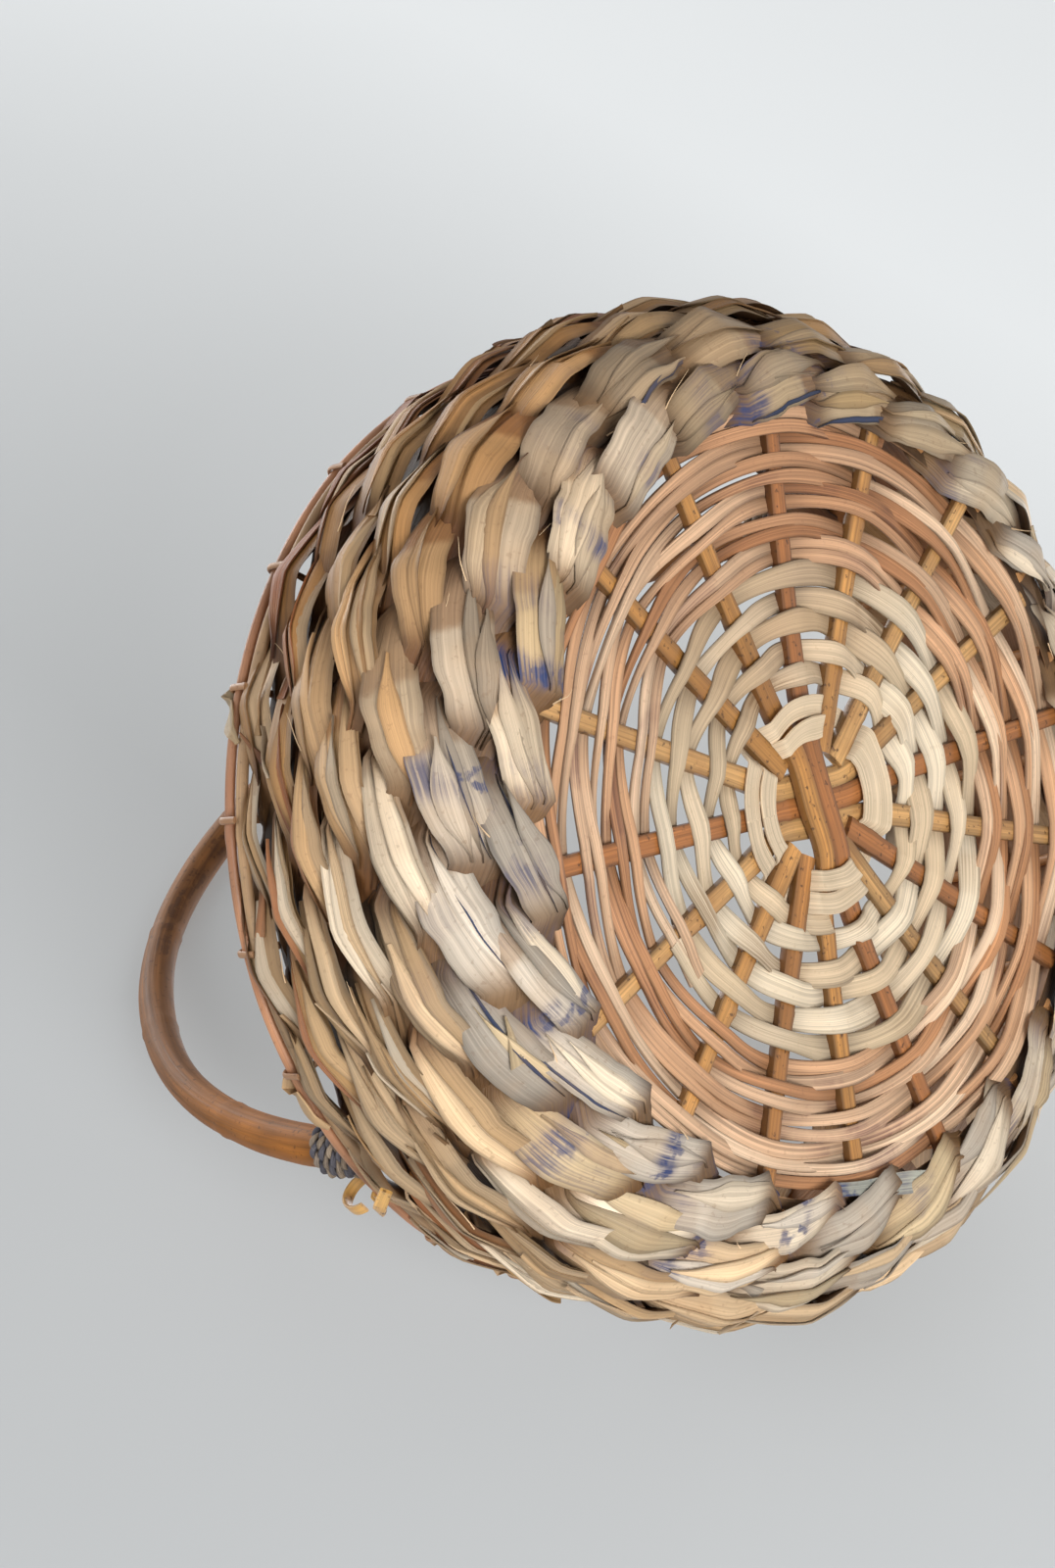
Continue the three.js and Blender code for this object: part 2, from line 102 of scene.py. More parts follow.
def polar(radius, angle, z):
    return np.stack(np.broadcast_arrays(radius * np.cos(angle), radius * np.sin(angle), z), axis=-1)


# The wall's line by arc length: out from the base to the belly, then in to the rim
rimDepth = (body["bellyRadius"] - body["rimRadius"]) / (1 - math.cos(body["rimSweep"]))
rimReach = (body["rimHeight"] - body["bellyHeight"]) / math.sin(body["rimSweep"])
lowTurn = np.linspace(-np.pi / 2, 0, 200)
highTurn = np.linspace(0, body["rimSweep"], 200)[1:]
wallRadius = np.concatenate([
    body["baseRadius"] + (body["bellyRadius"] - body["baseRadius"]) * np.cos(lowTurn),
    body["bellyRadius"] - rimDepth + rimDepth * np.cos(highTurn),
])
wallZ = np.concatenate([
    body["bellyHeight"] * (1 + np.sin(lowTurn)),
    body["bellyHeight"] + rimReach * np.sin(highTurn),
]) + baseLevel
wallRun = np.concatenate([[0], np.cumsum(np.hypot(np.diff(wallRadius), np.diff(wallZ)))])
wallLength = wallRun[-1]


def wallPoint(lift):
    run = np.asarray(lift) * wallLength
    return np.interp(run, wallRun, wallRadius), np.interp(run, wallRun, wallZ)


def wallFrame(lift):
    r0, z0 = wallPoint(max(lift - 0.002, 0))
    r1, z1 = wallPoint(min(lift + 0.002, 1))
    up = np.array([r1 - r0, z1 - z0])
    up = up / np.linalg.norm(up)
    return np.array(wallPoint(lift)), up, np.array([up[1], -up[0]])


# Smooth seeded noise along a line
def wander(seed, x, step):
    values = np.random.RandomState(seed % 99991).uniform(-1, 1, 4096)
    x = np.asarray(x) / step + 1000
    low = np.floor(x).astype(int)
    share = x - low
    share = share * share * (3 - 2 * share)
    return values[low % 4096] * (1 - share) + values[(low + 1) % 4096] * share


def smooth(low, high, x):
    share = np.clip((x - low) / (high - low), 0, 1)
    return share * share * (3 - 2 * share)


def linear(red, green, blue):
    shade = np.array([red, green, blue]) / 255
    return np.where(shade <= 0.04045, shade / 12.92, ((shade + 0.055) / 1.055) ** 2.4)


# Piece building: skins over rings of points, with a grain direction and a tint on each point; on some pieces
# the tint carries painted shade and highlights
def newSkin():
    return {"points": [], "faces": [], "grain": [], "tint": [], "count": 0}


def addRings(skin, rings, along, across, tint, mark=0.0, loop=False, stain=0.0):
    n, m = rings.shape[:2]
    first = skin["count"]
    skin["points"].append(rings.reshape(-1, 3))
    grain = np.empty((n, m, 3))
    grain[..., 0] = np.asarray(along).reshape(-1, 1)
    grain[..., 1] = np.asarray(across).reshape(1, -1)
    grain[..., 2] = mark
    skin["grain"].append(grain.reshape(-1, 3))
    colour = np.empty((n, m, 4))
    colour[..., :3] = tint
    colour[..., 3] = stain
    skin["tint"].append(colour.reshape(-1, 4))
    here = np.arange(n if loop else n - 1)
    after = (here + 1) % n
    j = np.arange(m)
    k = (j + 1) % m
    a = first + here[:, None] * m
    b = first + after[:, None] * m
    quads = np.stack([a + j, b + j, b + k, a + k], axis=-1).reshape(-1, 4)
    skin["faces"].extend(quads.tolist())
    if not loop:
        skin["faces"].append([first + i for i in range(m)][::-1])
        skin["faces"].append([first + (n - 1) * m + i for i in range(m)])
    skin["count"] += n * m


def makePiece(name, skin, paint, nodes, sharp=40):
    mesh = bpy.data.meshes.new(name)
    points = np.concatenate(skin["points"])
    mesh.from_pydata(points.tolist(), [], skin["faces"])
    grain = mesh.attributes.new("grain", "FLOAT_VECTOR", "POINT")
    grain.data.foreach_set("vector", np.concatenate(skin["grain"]).astype(np.float32).ravel())
    tint = mesh.attributes.new("tint", "FLOAT_COLOR", "POINT")
    tint.data.foreach_set("color", np.concatenate(skin["tint"]).astype(np.float32).ravel())
    mesh.polygons.foreach_set("use_smooth", [True] * len(mesh.polygons))
    mesh.update()
    mesh.set_sharp_from_angle(angle=math.radians(sharp))
    mesh.materials.append(paint)
    piece = bpy.data.objects.new(name, mesh)
    bpy.context.scene.collection.objects.link(piece)
    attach(piece, "root")
    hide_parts(*nodes)


def tangents(path, loop=False):
    if loop:
        ahead = np.roll(path, -1, axis=0) - np.roll(path, 1, axis=0)
    else:
        ahead = np.gradient(path, axis=0)
    return ahead / np.linalg.norm(ahead, axis=1, keepdims=True)


def runOf(path):
    return np.concatenate([[0], np.cumsum(np.linalg.norm(np.diff(path, axis=0), axis=1))])


# Sweeps sections of [across, through] points along a path
def sweepRings(path, side, sections, loop=False):
    along = tangents(path, loop)
    across = side - along * np.sum(side * along, axis=1, keepdims=True)
    across = across / np.linalg.norm(across, axis=1, keepdims=True)
    through = np.cross(along, across)
    return (path[:, None, :] + across[:, None, :] * sections[..., 0:1]
            + through[:, None, :] * sections[..., 1:2])


def ovalSection(halfAcross, halfThrough, sides):
    turn = np.linspace(0, 2 * np.pi, sides, endpoint=False)
    halfAcross = np.asarray(halfAcross, dtype=float).reshape(-1, 1)
    halfThrough = np.asarray(halfThrough, dtype=float).reshape(-1, 1)
    return np.stack(np.broadcast_arrays(halfAcross * np.cos(turn), halfThrough * np.sin(turn)), axis=-1)


# A strip's section: a flat strip with rounded edges and a slight crown
def stripSection(halfWidth, half, crown):
    across = np.array([1, 0.93, 0.55, 0, -0.55, -0.93, -1, -0.93, -0.55, 0, 0.55, 0.93])
    through = np.array([0, 0.8, 1, 1, 1, 0.8, 0, -0.8, -1, -1, -1, -0.8])
    halfWidth = np.asarray(halfWidth, dtype=float).reshape(-1, 1)
    half = np.asarray(half, dtype=float).reshape(-1, 1)
    bow = crown * (1 - across ** 2)
    return np.stack(np.broadcast_arrays(halfWidth * across, half * through + bow), axis=-1)


# Adds a strip swept along its path, with the grain along it
def addStrip(skin, path, side, sections, tint, mark, stain=0.0):
    addRings(skin, sweepRings(path, side, sections), runOf(path), sections[0, :, 0], tint[:, None, :],
             mark=mark, stain=stain)


def smoothPath(corners, count):
    corners = np.asarray(corners, dtype=float)
    padded = np.vstack([2 * corners[0] - corners[1], corners, 2 * corners[-1] - corners[-2]])
    spans = len(corners) - 1
    place = np.linspace(0, spans, count)
    low = np.clip(np.floor(place).astype(int), 0, spans - 1)
    t = (place - low)[:, None]
    a, b, c, d = (padded[low + i] for i in range(4))
    return 0.5 * (2 * b + (c - a) * t + (2 * a - 5 * b + 4 * c - d) * t ** 2
                  + (3 * b - a - 3 * c + d) * t ** 3)


# Material nodes: a value is a number, a colour or another node's output
def feed(tree, socket, value):
    if isinstance(value, bpy.types.NodeSocket):
        tree.links.new(value, socket)
    else:
        socket.default_value = value


def mathNode(tree, kind, first, second):
    node = tree.nodes.new("ShaderNodeMath")
    node.operation = kind
    feed(tree, node.inputs[0], first)
    feed(tree, node.inputs[1], second)
    return node.outputs[0]


def product(tree, first, second):
    return mathNode(tree, "MULTIPLY", first, second)


def scaled(tree, value, low, high, toLow, toHigh, kind="LINEAR"):
    ramp = tree.nodes.new("ShaderNodeMapRange")
    ramp.interpolation_type = kind
    ramp.inputs["From Min"].default_value = low
    ramp.inputs["From Max"].default_value = high
    ramp.inputs["To Min"].default_value = toLow
    ramp.inputs["To Max"].default_value = toHigh
    tree.links.new(value, ramp.inputs["Value"])
    return ramp.outputs["Result"]


def mixColour(tree, kind, share, first, second):
    mix = tree.nodes.new("ShaderNodeMix")
    mix.data_type = "RGBA"
    mix.blend_type = kind
    feed(tree, mix.inputs[0], share)
    feed(tree, mix.inputs[6], first)
    feed(tree, mix.inputs[7], second)
    return mix.outputs[2]


# 1 on the rays that show a backdrop: from the camera, and through reflections and clear pieces
def shownRays(tree, rays):
    seen = mathNode(tree, "MAXIMUM", rays.outputs["Is Camera Ray"], rays.outputs["Is Glossy Ray"])
    return mathNode(tree, "MAXIMUM", seen, rays.outputs["Is Transmission Ray"])


def rgba(colour):
    return (float(colour[0]), float(colour[1]), float(colour[2]), 1.0)


def groupNode(name, inputs, outputs):
    group = bpy.data.node_groups.new(name, "ShaderNodeTree")
    for label, kind, value in inputs:
        socket = group.interface.new_socket(label, in_out="INPUT", socket_type=kind)
        if value is not None:
            socket.default_value = value
    for label, kind in outputs:
        group.interface.new_socket(label, in_out="OUTPUT", socket_type=kind)
    return group


# Broad and fine streaks that run with the grain
def fibreGroup():
    group = groupNode(
        "fibre streaks",
        [("Grain", "NodeSocketVector", None), ("Across", "NodeSocketFloat", 900.0),
         ("Along", "NodeSocketFloat", 12.0)],
        [("Streak", "NodeSocketFloat"), ("Fine", "NodeSocketFloat")],
    )
    nodes = group.nodes
    links = group.links
    start = nodes.new("NodeGroupInput")
    end = nodes.new("NodeGroupOutput")
    parts = nodes.new("ShaderNodeSeparateXYZ")
    links.new(start.outputs["Grain"], parts.inputs[0])
    along = product(group, parts.outputs[0], start.outputs["Along"])
    across = product(group, parts.outputs[1], start.outputs["Across"])
    for label, factor, detail in (("Streak", 1.0, 3.0), ("Fine", 3.1, 5.0)):
        joined = nodes.new("ShaderNodeCombineXYZ")
        links.new(along, joined.inputs[0])
        links.new(product(group, across, factor), joined.inputs[1])
        links.new(parts.outputs[2], joined.inputs[2])
        noise = nodes.new("ShaderNodeTexNoise")
        noise.inputs["Scale"].default_value = 1.0
        noise.inputs["Detail"].default_value = detail
        noise.inputs["Roughness"].default_value = 0.6
        links.new(joined.outputs[0], noise.inputs["Vector"])
        links.new(noise.outputs["Fac"], end.inputs[label])
    return group


# Broad patches and small specks, for age and stains
def patchGroup():
    group = groupNode(
        "stain patches",
        [("Place", "NodeSocketVector", None), ("Scale", "NodeSocketFloat", 40.0)],
        [("Broad", "NodeSocketFloat"), ("Specks", "NodeSocketFloat")],
    )
    start = group.nodes.new("NodeGroupInput")
    end = group.nodes.new("NodeGroupOutput")
    for label, scale, detail, low, high in (("Broad", start.outputs["Scale"], 4.0, 0.42, 0.68),
                                            ("Specks", 650.0, 3.0, 0.6, 0.72)):
        noise = group.nodes.new("ShaderNodeTexNoise")
        noise.inputs["Detail"].default_value = detail
        feed(group, noise.inputs["Scale"], scale)
        group.links.new(start.outputs["Place"], noise.inputs["Vector"])
        mask = scaled(group, noise.outputs["Fac"], low, high, 0.0, 1.0, "SMOOTHSTEP")
        group.links.new(mask, end.inputs[label])
    return group


fibreStreaks = fibreGroup()
stainPatches = patchGroup()


# Leaf, cane or cord: streaks with the grain, age, specks and, where the tint's alpha says so, stains
def fibrePaint(name, look):
    paint = bpy.data.materials.new(name)
    paint.use_nodes = True
    tree = paint.node_tree
    nodes = tree.nodes
    links = tree.links
    shader = nodes["Principled BSDF"]
    grain = nodes.new("ShaderNodeAttribute")
    grain.attribute_name = "grain"
    tint = nodes.new("ShaderNodeAttribute")
    tint.attribute_name = "tint"
    place = nodes.new("ShaderNodeTexCoord")
    fibres = nodes.new("ShaderNodeGroup")
    fibres.node_tree = fibreStreaks
    fibres.inputs["Across"].default_value = look["across"]
    fibres.inputs["Along"].default_value = look["along"]
    links.new(grain.outputs["Vector"], fibres.inputs["Grain"])

    def patchesAt(scale):
        patches = nodes.new("ShaderNodeGroup")
        patches.node_tree = stainPatches
        patches.inputs["Scale"].default_value = scale
        links.new(place.outputs["Object"], patches.inputs["Place"])
        return patches.outputs

    patches = patchesAt(look["patchScale"])
    streak = scaled(tree, fibres.outputs["Streak"], 0.3, 0.7, *look["streak"])
    colour = mixColour(tree, "MULTIPLY", 1.0, tint.outputs["Color"], streak)
    fine = scaled(tree, fibres.outputs["Fine"], 0.35, 0.65, *look["fine"])
    colour = mixColour(tree, "MULTIPLY", 1.0, colour, fine)
    age = product(tree, patches["Broad"], look["ageShare"])
    colour = mixColour(tree, "MIX", age, colour, rgba(look["age"]))
    specks = product(tree, patches["Specks"], look["speckShare"])
    colour = mixColour(tree, "MIX", specks, colour, rgba(look["speck"]))
    if "stain" in look:
        # A soft wash along the fibres, and marks with ragged edges
        blotch = scaled(tree, patches["Broad"], 0.1, 0.6, 0.12, 1.0)
        soaked = scaled(tree, fibres.outputs["Streak"], 0.58, 0.42, 0.25, 1.0)
        wash = product(tree, tint.outputs["Alpha"], product(tree, blotch, soaked))
        ragged = scaled(tree, patchesAt(look["patchScale"] * 4)["Broad"], 0.0, 1.0, -0.5, 0.1)
        ragged = mathNode(tree, "ADD", tint.outputs["Alpha"], ragged)
        marks = scaled(tree, ragged, 0.4, 0.7, 0.0, look.get("marks", 0.0))
        marks = product(tree, marks, scaled(tree, fibres.outputs["Fine"], 0.62, 0.4, 0.55, 1.0))
        stain = mathNode(tree, "MAXIMUM", product(tree, wash, look.get("wash", 1.0)), marks)
        colour = mixColour(tree, look.get("stainKind", "MULTIPLY"), stain, colour, rgba(look["stain"]))
    links.new(colour, shader.inputs["Base Color"])
    rough = scaled(tree, fibres.outputs["Fine"], 0.3, 0.7, *look["rough"])
    links.new(rough, shader.inputs["Roughness"])
    shader.inputs["Coat Weight"].default_value = look.get("coat", 0.0)
    shader.inputs["Coat Roughness"].default_value = 0.25
    shader.inputs["Specular IOR Level"].default_value = look["gloss"]
    bump = nodes.new("ShaderNodeBump")
    bump.inputs["Strength"].default_value = look["bump"]
    bump.inputs["Distance"].default_value = 0.0004
    links.new(fibres.outputs["Streak"], bump.inputs["Height"])
    links.new(bump.outputs["Normal"], shader.inputs["Normal"])
    return paint


leafPaint = fibrePaint("dryLeaf", {
    "across": 1500, "along": 16, "patchScale": 60, "streak": (0.74, 1.13), "fine": (0.86, 1.07),
    "ageShare": 0.2, "age": linear(188, 148, 104), "speckShare": 0.25, "speck": linear(110, 76, 48),
    "stain": linear(42, 56, 98), "stainKind": "MIX", "marks": 0.9, "wash": 1.3, "rough": (0.45, 0.68),
    "gloss": 0.35, "bump": 0.7,
})
paleCanePaint = fibrePaint("paleCane", {
    "across": 1900, "along": 10, "patchScale": 45, "streak": (0.64, 1.14), "fine": (0.8, 1.1),
    "ageShare": 0.15, "age": linear(208, 182, 140), "speckShare": 0.15, "speck": linear(150, 115, 75),
    "stain": linear(170, 140, 110), "rough": (0.5, 0.7), "gloss": 0.3, "bump": 0.35,
})
redCanePaint = fibrePaint("redCane", {
    "across": 1700, "along": 9, "patchScale": 55, "streak": (0.56, 1.26), "fine": (0.76, 1.16),
    "ageShare": 0.2, "age": linear(186, 138, 98), "speckShare": 0.2, "speck": linear(124, 80, 60),
    "stain": linear(168, 150, 170), "rough": (0.45, 0.65), "coat": 0.05, "gloss": 0.35, "bump": 0.5,
})
stickPaint = fibrePaint("stickCane", {
    "across": 1300, "along": 14, "patchScale": 90, "streak": (0.56, 1.2), "fine": (0.86, 1.08),
    "ageShare": 0.4, "age": linear(140, 90, 46), "speckShare": 0.8, "speck": linear(70, 42, 24),
    "rough": (0.32, 0.52), "coat": 0.2, "gloss": 0.45, "bump": 0.35,
})
stakePaint = fibrePaint("stakeCane", {
    "across": 1300, "along": 14, "patchScale": 80, "streak": (0.68, 1.18), "fine": (0.9, 1.06),
    "ageShare": 0.45, "age": linear(140, 96, 56), "speckShare": 0.4, "speck": linear(84, 50, 28),
    "rough": (0.4, 0.6), "coat": 0.12, "gloss": 0.4, "bump": 0.3,
})
redRimPaint = fibrePaint("redRimCane", {
    "across": 1200, "along": 12, "patchScale": 50, "streak": (0.7, 1.16), "fine": (0.9, 1.06),
    "ageShare": 0.4, "age": linear(150, 96, 66), "speckShare": 0.35, "speck": linear(92, 58, 40),
    "rough": (0.4, 0.6), "coat": 0.1, "gloss": 0.4, "bump": 0.3,
})
greyRimPaint = fibrePaint("greyRimCane", {
    "across": 1200, "along": 12, "patchScale": 60, "streak": (0.7, 1.14), "fine": (0.9, 1.06),
    "ageShare": 0.4, "age": linear(120, 108, 92), "speckShare": 0.35, "speck": linear(80, 66, 52),
    "rough": (0.5, 0.7), "gloss": 0.35, "bump": 0.3,
})
handlePaint = fibrePaint("handleCane", {
    "across": 700, "along": 22, "patchScale": 60, "streak": (0.5, 1.26), "fine": (0.8, 1.1),
    "ageShare": 0.35, "age": linear(122, 80, 42), "speckShare": 0.6, "speck": linear(62, 38, 22),
    "stain": linear(70, 46, 32), "stainKind": "MIX", "marks": 0.75, "wash": 0.7, "rough": (0.5, 0.72),
    "gloss": 0.2, "bump": 0.5,
})
cordPaint = fibrePaint("cordYarn", {
    "across": 3000, "along": 90, "patchScale": 120, "streak": (0.55, 1.3), "fine": (0.8, 1.15),
    "ageShare": 0.35, "age": linear(62, 66, 82), "speckShare": 0.3, "speck": linear(176, 164, 146),
    "rough": (0.7, 0.9), "gloss": 0.2, "bump": 0.8,
})
print("materials ready")


# Twined wall
wallLook = {
    "twine": 0.0048,
    "slants": [0.0062, 0.006, 0.0058, 0.0057, 0.0055, 0.0053, 0.005],
    "leftSlants": [0.0038, 0.002, -0.0005, -0.002, -0.0028, -0.003, -0.003],
    "lead": 0.3,
    "shown": 0.66 * math.pi,
    "halfWidth": 0.0068,
    "half": 0.0012,
    "perSpace": 22,
    "spliceFrom": 13,
    "spliceStep": 2,
    "stitchRun": 0.031,
    "footPress": 0.0016,
    "straw": linear(224, 192, 152),
    "cream": linear(236, 217, 190),
    "tan": linear(206, 170, 126),
    "gold": linear(204, 160, 106),
    "olive": linear(206, 182, 144),
    "grey": linear(208, 194, 176),
    "brown": linear(168, 118, 78),
    "rust": linear(184, 122, 80),
    "blue": linear(58, 66, 92),
    "blueSides": [165, 205, 305],
    "blueShare": 0.5,
    # Painted shade colour of the band between a row's strands, and how much lighter its inside is
    "coreShade": linear(72, 52, 36),
    "coreInside": 4.2,
    # Colour of the painted shade where a strand goes behind the other
    "tucked": np.array([0.27, 0.18, 0.11]),
    "leafThick": 0.0004,
    "legSpread": 0.0009,
    "leftSide": math.radians(300),
    "shadedSide": math.radians(275),
    # Painted shade: leaves darker and browner towards this side
    "shadeBrownSide": math.radians(285),
    "shadeBrownFade": np.array([0.3, 0.46, 0.64]),
    # Leaves darker and less blue towards this side
    "darkWarmSide": math.radians(318),
    "darkWarmFade": np.array([0.28, 0.32, 0.4]),
    "lowRows": 2,
    "looseFibres": 8,
}
rowMixes = [
    ["grey", "cream", "grey", "olive", "cream"],
    ["straw", "cream", "olive", "grey", "grey"],
    ["straw", "cream", "tan", "straw", "cream"],
    ["straw", "tan", "cream", "cream", "tan"],
    ["tan", "straw", "straw", "brown", "cream"],
    ["gold", "tan", "straw", "brown", "cream", "rust"],
    ["gold", "tan", "straw", "brown", "cream", "rust"],
]
rowLight = [1.03, 0.96, 0.89, 0.84, 0.82, 0.8, 0.78]
# Blue stain: how much of each row it reaches, and its spots as [row, angle, half width, strength]
rowStain = [0.9, 0.6, 0.25, 0.05, 0.0, 0.0, 0.0]
stainSpots = [
    [0, 242, 1.9, 1.0], [0, 198, 2.1, 1.0], [0, 172, 1.8, 1.0], [1, 184, 2.6, 0.7], [1, 228, 2.2, 0.75],
    [0, 300, 5.0, 0.68], [0, 315, 4.0, 0.62], [0, 146, 3.0, 0.75], [1, 160, 3.0, 0.7], [0, 262, 1.6, 1.0],
    [1, 310, 4.0, 0.65], [0, 218, 4.0, 0.55], [2, 330, 3.0, 0.6],
]


def stainAt(row, angle, seed, turn):
    angle = np.asarray(angle)
    wash = rowStain[row] * smooth(0.0, 0.7, wander(seed + 5, turn, 0.5) + 0.1) * 0.45
    for spotRow, degrees, half, strength in stainSpots:
        if spotRow == row:
            away = np.degrees(np.arccos(np.clip(np.cos(angle - math.radians(degrees)), -1, 1)))
            wash = np.maximum(wash, strength * smooth(half * 1.6, half * 0.4, away))
    return wash


# The space that one strand twines in: its face, its shades, its place on the wall and its draws
def strandSpace(row, twist, seed):
    lift = (row + 0.5) / body["rows"]
    centre, up, out = wallFrame(lift)
    topRow = row == body["rows"] - 1
    lowRow = row < wallLook["lowRows"]
    draw = random.Random(seed)
    stitches = {}

    def stitch(index):
        if index not in stitches:
            stitches[index] = {
                "wide": draw.uniform(0.88, 1.1) * (1.2 if topRow else 1.0) * (1.14 if lowRow else 1.0),
                "ridge": draw.choice([0.46, 0.25, 0.05, -0.15, -0.35, -0.55]),
                "rise": draw.uniform(1.0, 2.1) * (0.75 if lowRow else 1.0),
                "groove": draw.choice([0.66, 0.46, 0.05, -0.35, -0.75]),
                "cut": draw.uniform(0.2, 0.9) * (0.5 if lowRow else 1.0),
                "lean": draw.uniform(-0.1, 0.1) + (0.5 if topRow else 0.0),
                "tilt": draw.uniform(-0.26, 0.2),
                "bulge": draw.uniform(-0.0003, 0.0008),
                # Painted shade for each side of the stitch's fold
                "upperShade": draw.uniform(0.7, 1.05),
                "lowerShade": draw.uniform(0.7, 1.05),
                "bleach": draw.choice([0.0, 0.0, 0.1, 0.18]),
                "bleachFrom": draw.uniform(-0.12, 0.14),
                # Painted shade: how dark and brown one end of the stitch is, and where that begins
                "shadedStart": draw.choice([0.1, 0.3, 0.4, 0.5]),
                "shadedFrom": draw.uniform(0.0, 0.13),
            }
        return stitches[index]

    # A stitch's own value, eased into its neighbour's where they meet
    def value(phase, key):
        lap = phase / (2 * np.pi)
        near = np.floor(lap + 0.5).astype(int)
        off = lap - near
        other = np.where(off < 0, near - 1, near + 1)
        share = 0.5 * smooth(0.36, 0.5, np.abs(off))
        here = np.array([stitch(int(i))[key] for i in near])
        there = np.array([stitch(int(i))[key] for i in other])
        return here * (1 - share) + there * share

    # Points on the strand's face: across from -1 to 1 and height above its own surface
    def face(turn, across, height, bottom=False):
        phase = np.pi * turn + twist
        off = phase - 2 * np.pi * np.floor(phase / (2 * np.pi) + 0.5)
        narrow = np.where(off > 0, 0.3 if lowRow else 0.42, 0.2)
        swell = 1.04 - narrow * np.minimum(np.hypot(off, 0.12) / wallLook["shown"], 1)
        halfWidth = wallLook["halfWidth"] * value(phase, "wide") * swell
        halfWidth = (halfWidth * (1 + 0.09 * wander(seed + 3, turn, 0.16)))[:, None]
        ridge = value(phase, "ridge")[:, None]
        groove = value(phase, "groove")[:, None]
        crown = 1 - np.abs(np.clip(across, -1, 1)) ** 2.4
        roof = np.clip(np.minimum((1 - across) / (1 - ridge), (1 + across) / (1 + ridge)), -0.2, 1)
        nick = value(phase, "cut")[:, None] * np.clip(1 - np.abs(across - groove) / 0.21, 0, 1)
        surface = wallLook["half"] * (0.3 * crown + value(phase, "rise")[:, None] * roof - nick * crown)
        if bottom:
            surface = -wallLook["half"] * 0.5 * crown
        late = off + wallLook["lead"]
        late = np.where(late > np.pi, 2 * np.pi - late, np.hypot(late, 0.15))
        depth = wallLook["twine"] * (1 - late / wallLook["shown"]) + value(phase, "bulge")
        place = turn % body["stakes"]
        atLeg = np.minimum(np.minimum(place, body["stakes"] - place), np.abs(place - body["frontStakes"]))
        spread = wallLook["legSpread"] * smooth(0.5, 0.0, atLeg) * smooth(0.5, 0.9, lift)
        depth = depth + spread * np.sign(np.cos(phase))
        angle = stakeAngle(turn, lift)
        left = smooth(0.45, 0.9, np.cos(angle - wallLook["leftSide"]))
        slant = wallLook["slants"][row] * (1 - left) + wallLook["leftSlants"][row] * left
        away = np.abs(off)
        rise = slant * np.sign(off) * np.minimum(away / 0.6, (np.pi - away) / 0.4) / np.pi
        tilt = (value(phase, "tilt") + 0.1 * np.sin(phase))[:, None]
        lean = halfWidth * (across + value(phase, "lean")[:, None])
        outward = depth[:, None] - np.sin(tilt) * lean + np.cos(tilt) * (surface + height)
        upward = rise[:, None] + np.cos(tilt) * lean + np.sin(tilt) * (surface + height)
        spot = centre + outward[..., None] * out + upward[..., None] * up
        level = spot[..., 1]
        press = wallLook["footPress"]
        z = np.where(level < press, press * np.exp(np.minimum(level / press - 1, 0)), level)
        return polar(spot[..., 0], angle[:, None], z)

    # Painted shade on the strand's face: each side of its fold a different shade, darker edges, and a darker
    # brown part at one end of each stitch, most on the shaded side; also a bleached part, the leaf's own
    # colour
    def shade(turn, across):
        phase = np.pi * turn + twist
        lap = phase / (2 * np.pi)
        off = lap - np.floor(lap + 0.5)
        above = across > value(phase, "ridge")[:, None]
        side = np.where(above, value(phase, "upperShade")[:, None], value(phase, "lowerShade")[:, None])
        # Painted shade: the face darker towards its edges, where the strands meet
        edge = 1 - 0.5 * np.abs(np.clip(across, -1, 1)) ** 6
        start = value(phase, "bleachFrom")
        bleach = 1 + value(phase, "bleach") * smooth(start - 0.015, start + 0.015, off)
        # Painted shade: one end of each stitch darker and browner, most on the shaded side of the wall
        begin = value(phase, "shadedFrom")[:, None] - 0.05 * across
        shaded = smooth(-0.2, 0.8, np.cos(stakeAngle(turn, lift) - wallLook["shadedSide"]))
        brown = value(phase, "shadedStart") * (0.35 + 0.65 * shaded)
        brown = (brown[:, None] * smooth(begin, begin + 0.035, off[:, None]))[..., None]
        return (side * edge * bleach[:, None])[..., None] * (1 - brown * np.array([0.75, 1.0, 1.2]))

    return face, shade, lift, draw


# Painted shade: the sides that the photograph shows at its upper left are darker and browner. Leaves are also
# darker and less blue towards another side, most of all in the low rows
def leafColour(row, draw, angle):
    pick = wallLook[draw.choice(rowMixes[row])]
    brown = smooth(0.2, 0.98, math.cos(angle - wallLook["shadeBrownSide"])) * min(1, 0.4 + row / 4)
    pick = pick * min(draw.uniform(0.74, 1.32) * rowLight[row], 0.86 / pick.max())
    pick = pick * (1 - brown * wallLook["shadeBrownFade"])
    darkWarm = smooth(0.7, 0.97, math.cos(angle - wallLook["darkWarmSide"])) * (1 if row < 3 else 0.4)
    return pick * (1 - darkWarm * wallLook["darkWarmFade"])


# Painted shade, darker and warmer, where a strand goes behind the other
def tuckShade(turn, twist):
    shown = smooth(-0.6, 0.5, np.cos(np.pi * turn + twist))[:, None]
    return wallLook["tucked"] * (1 - shown) + shown


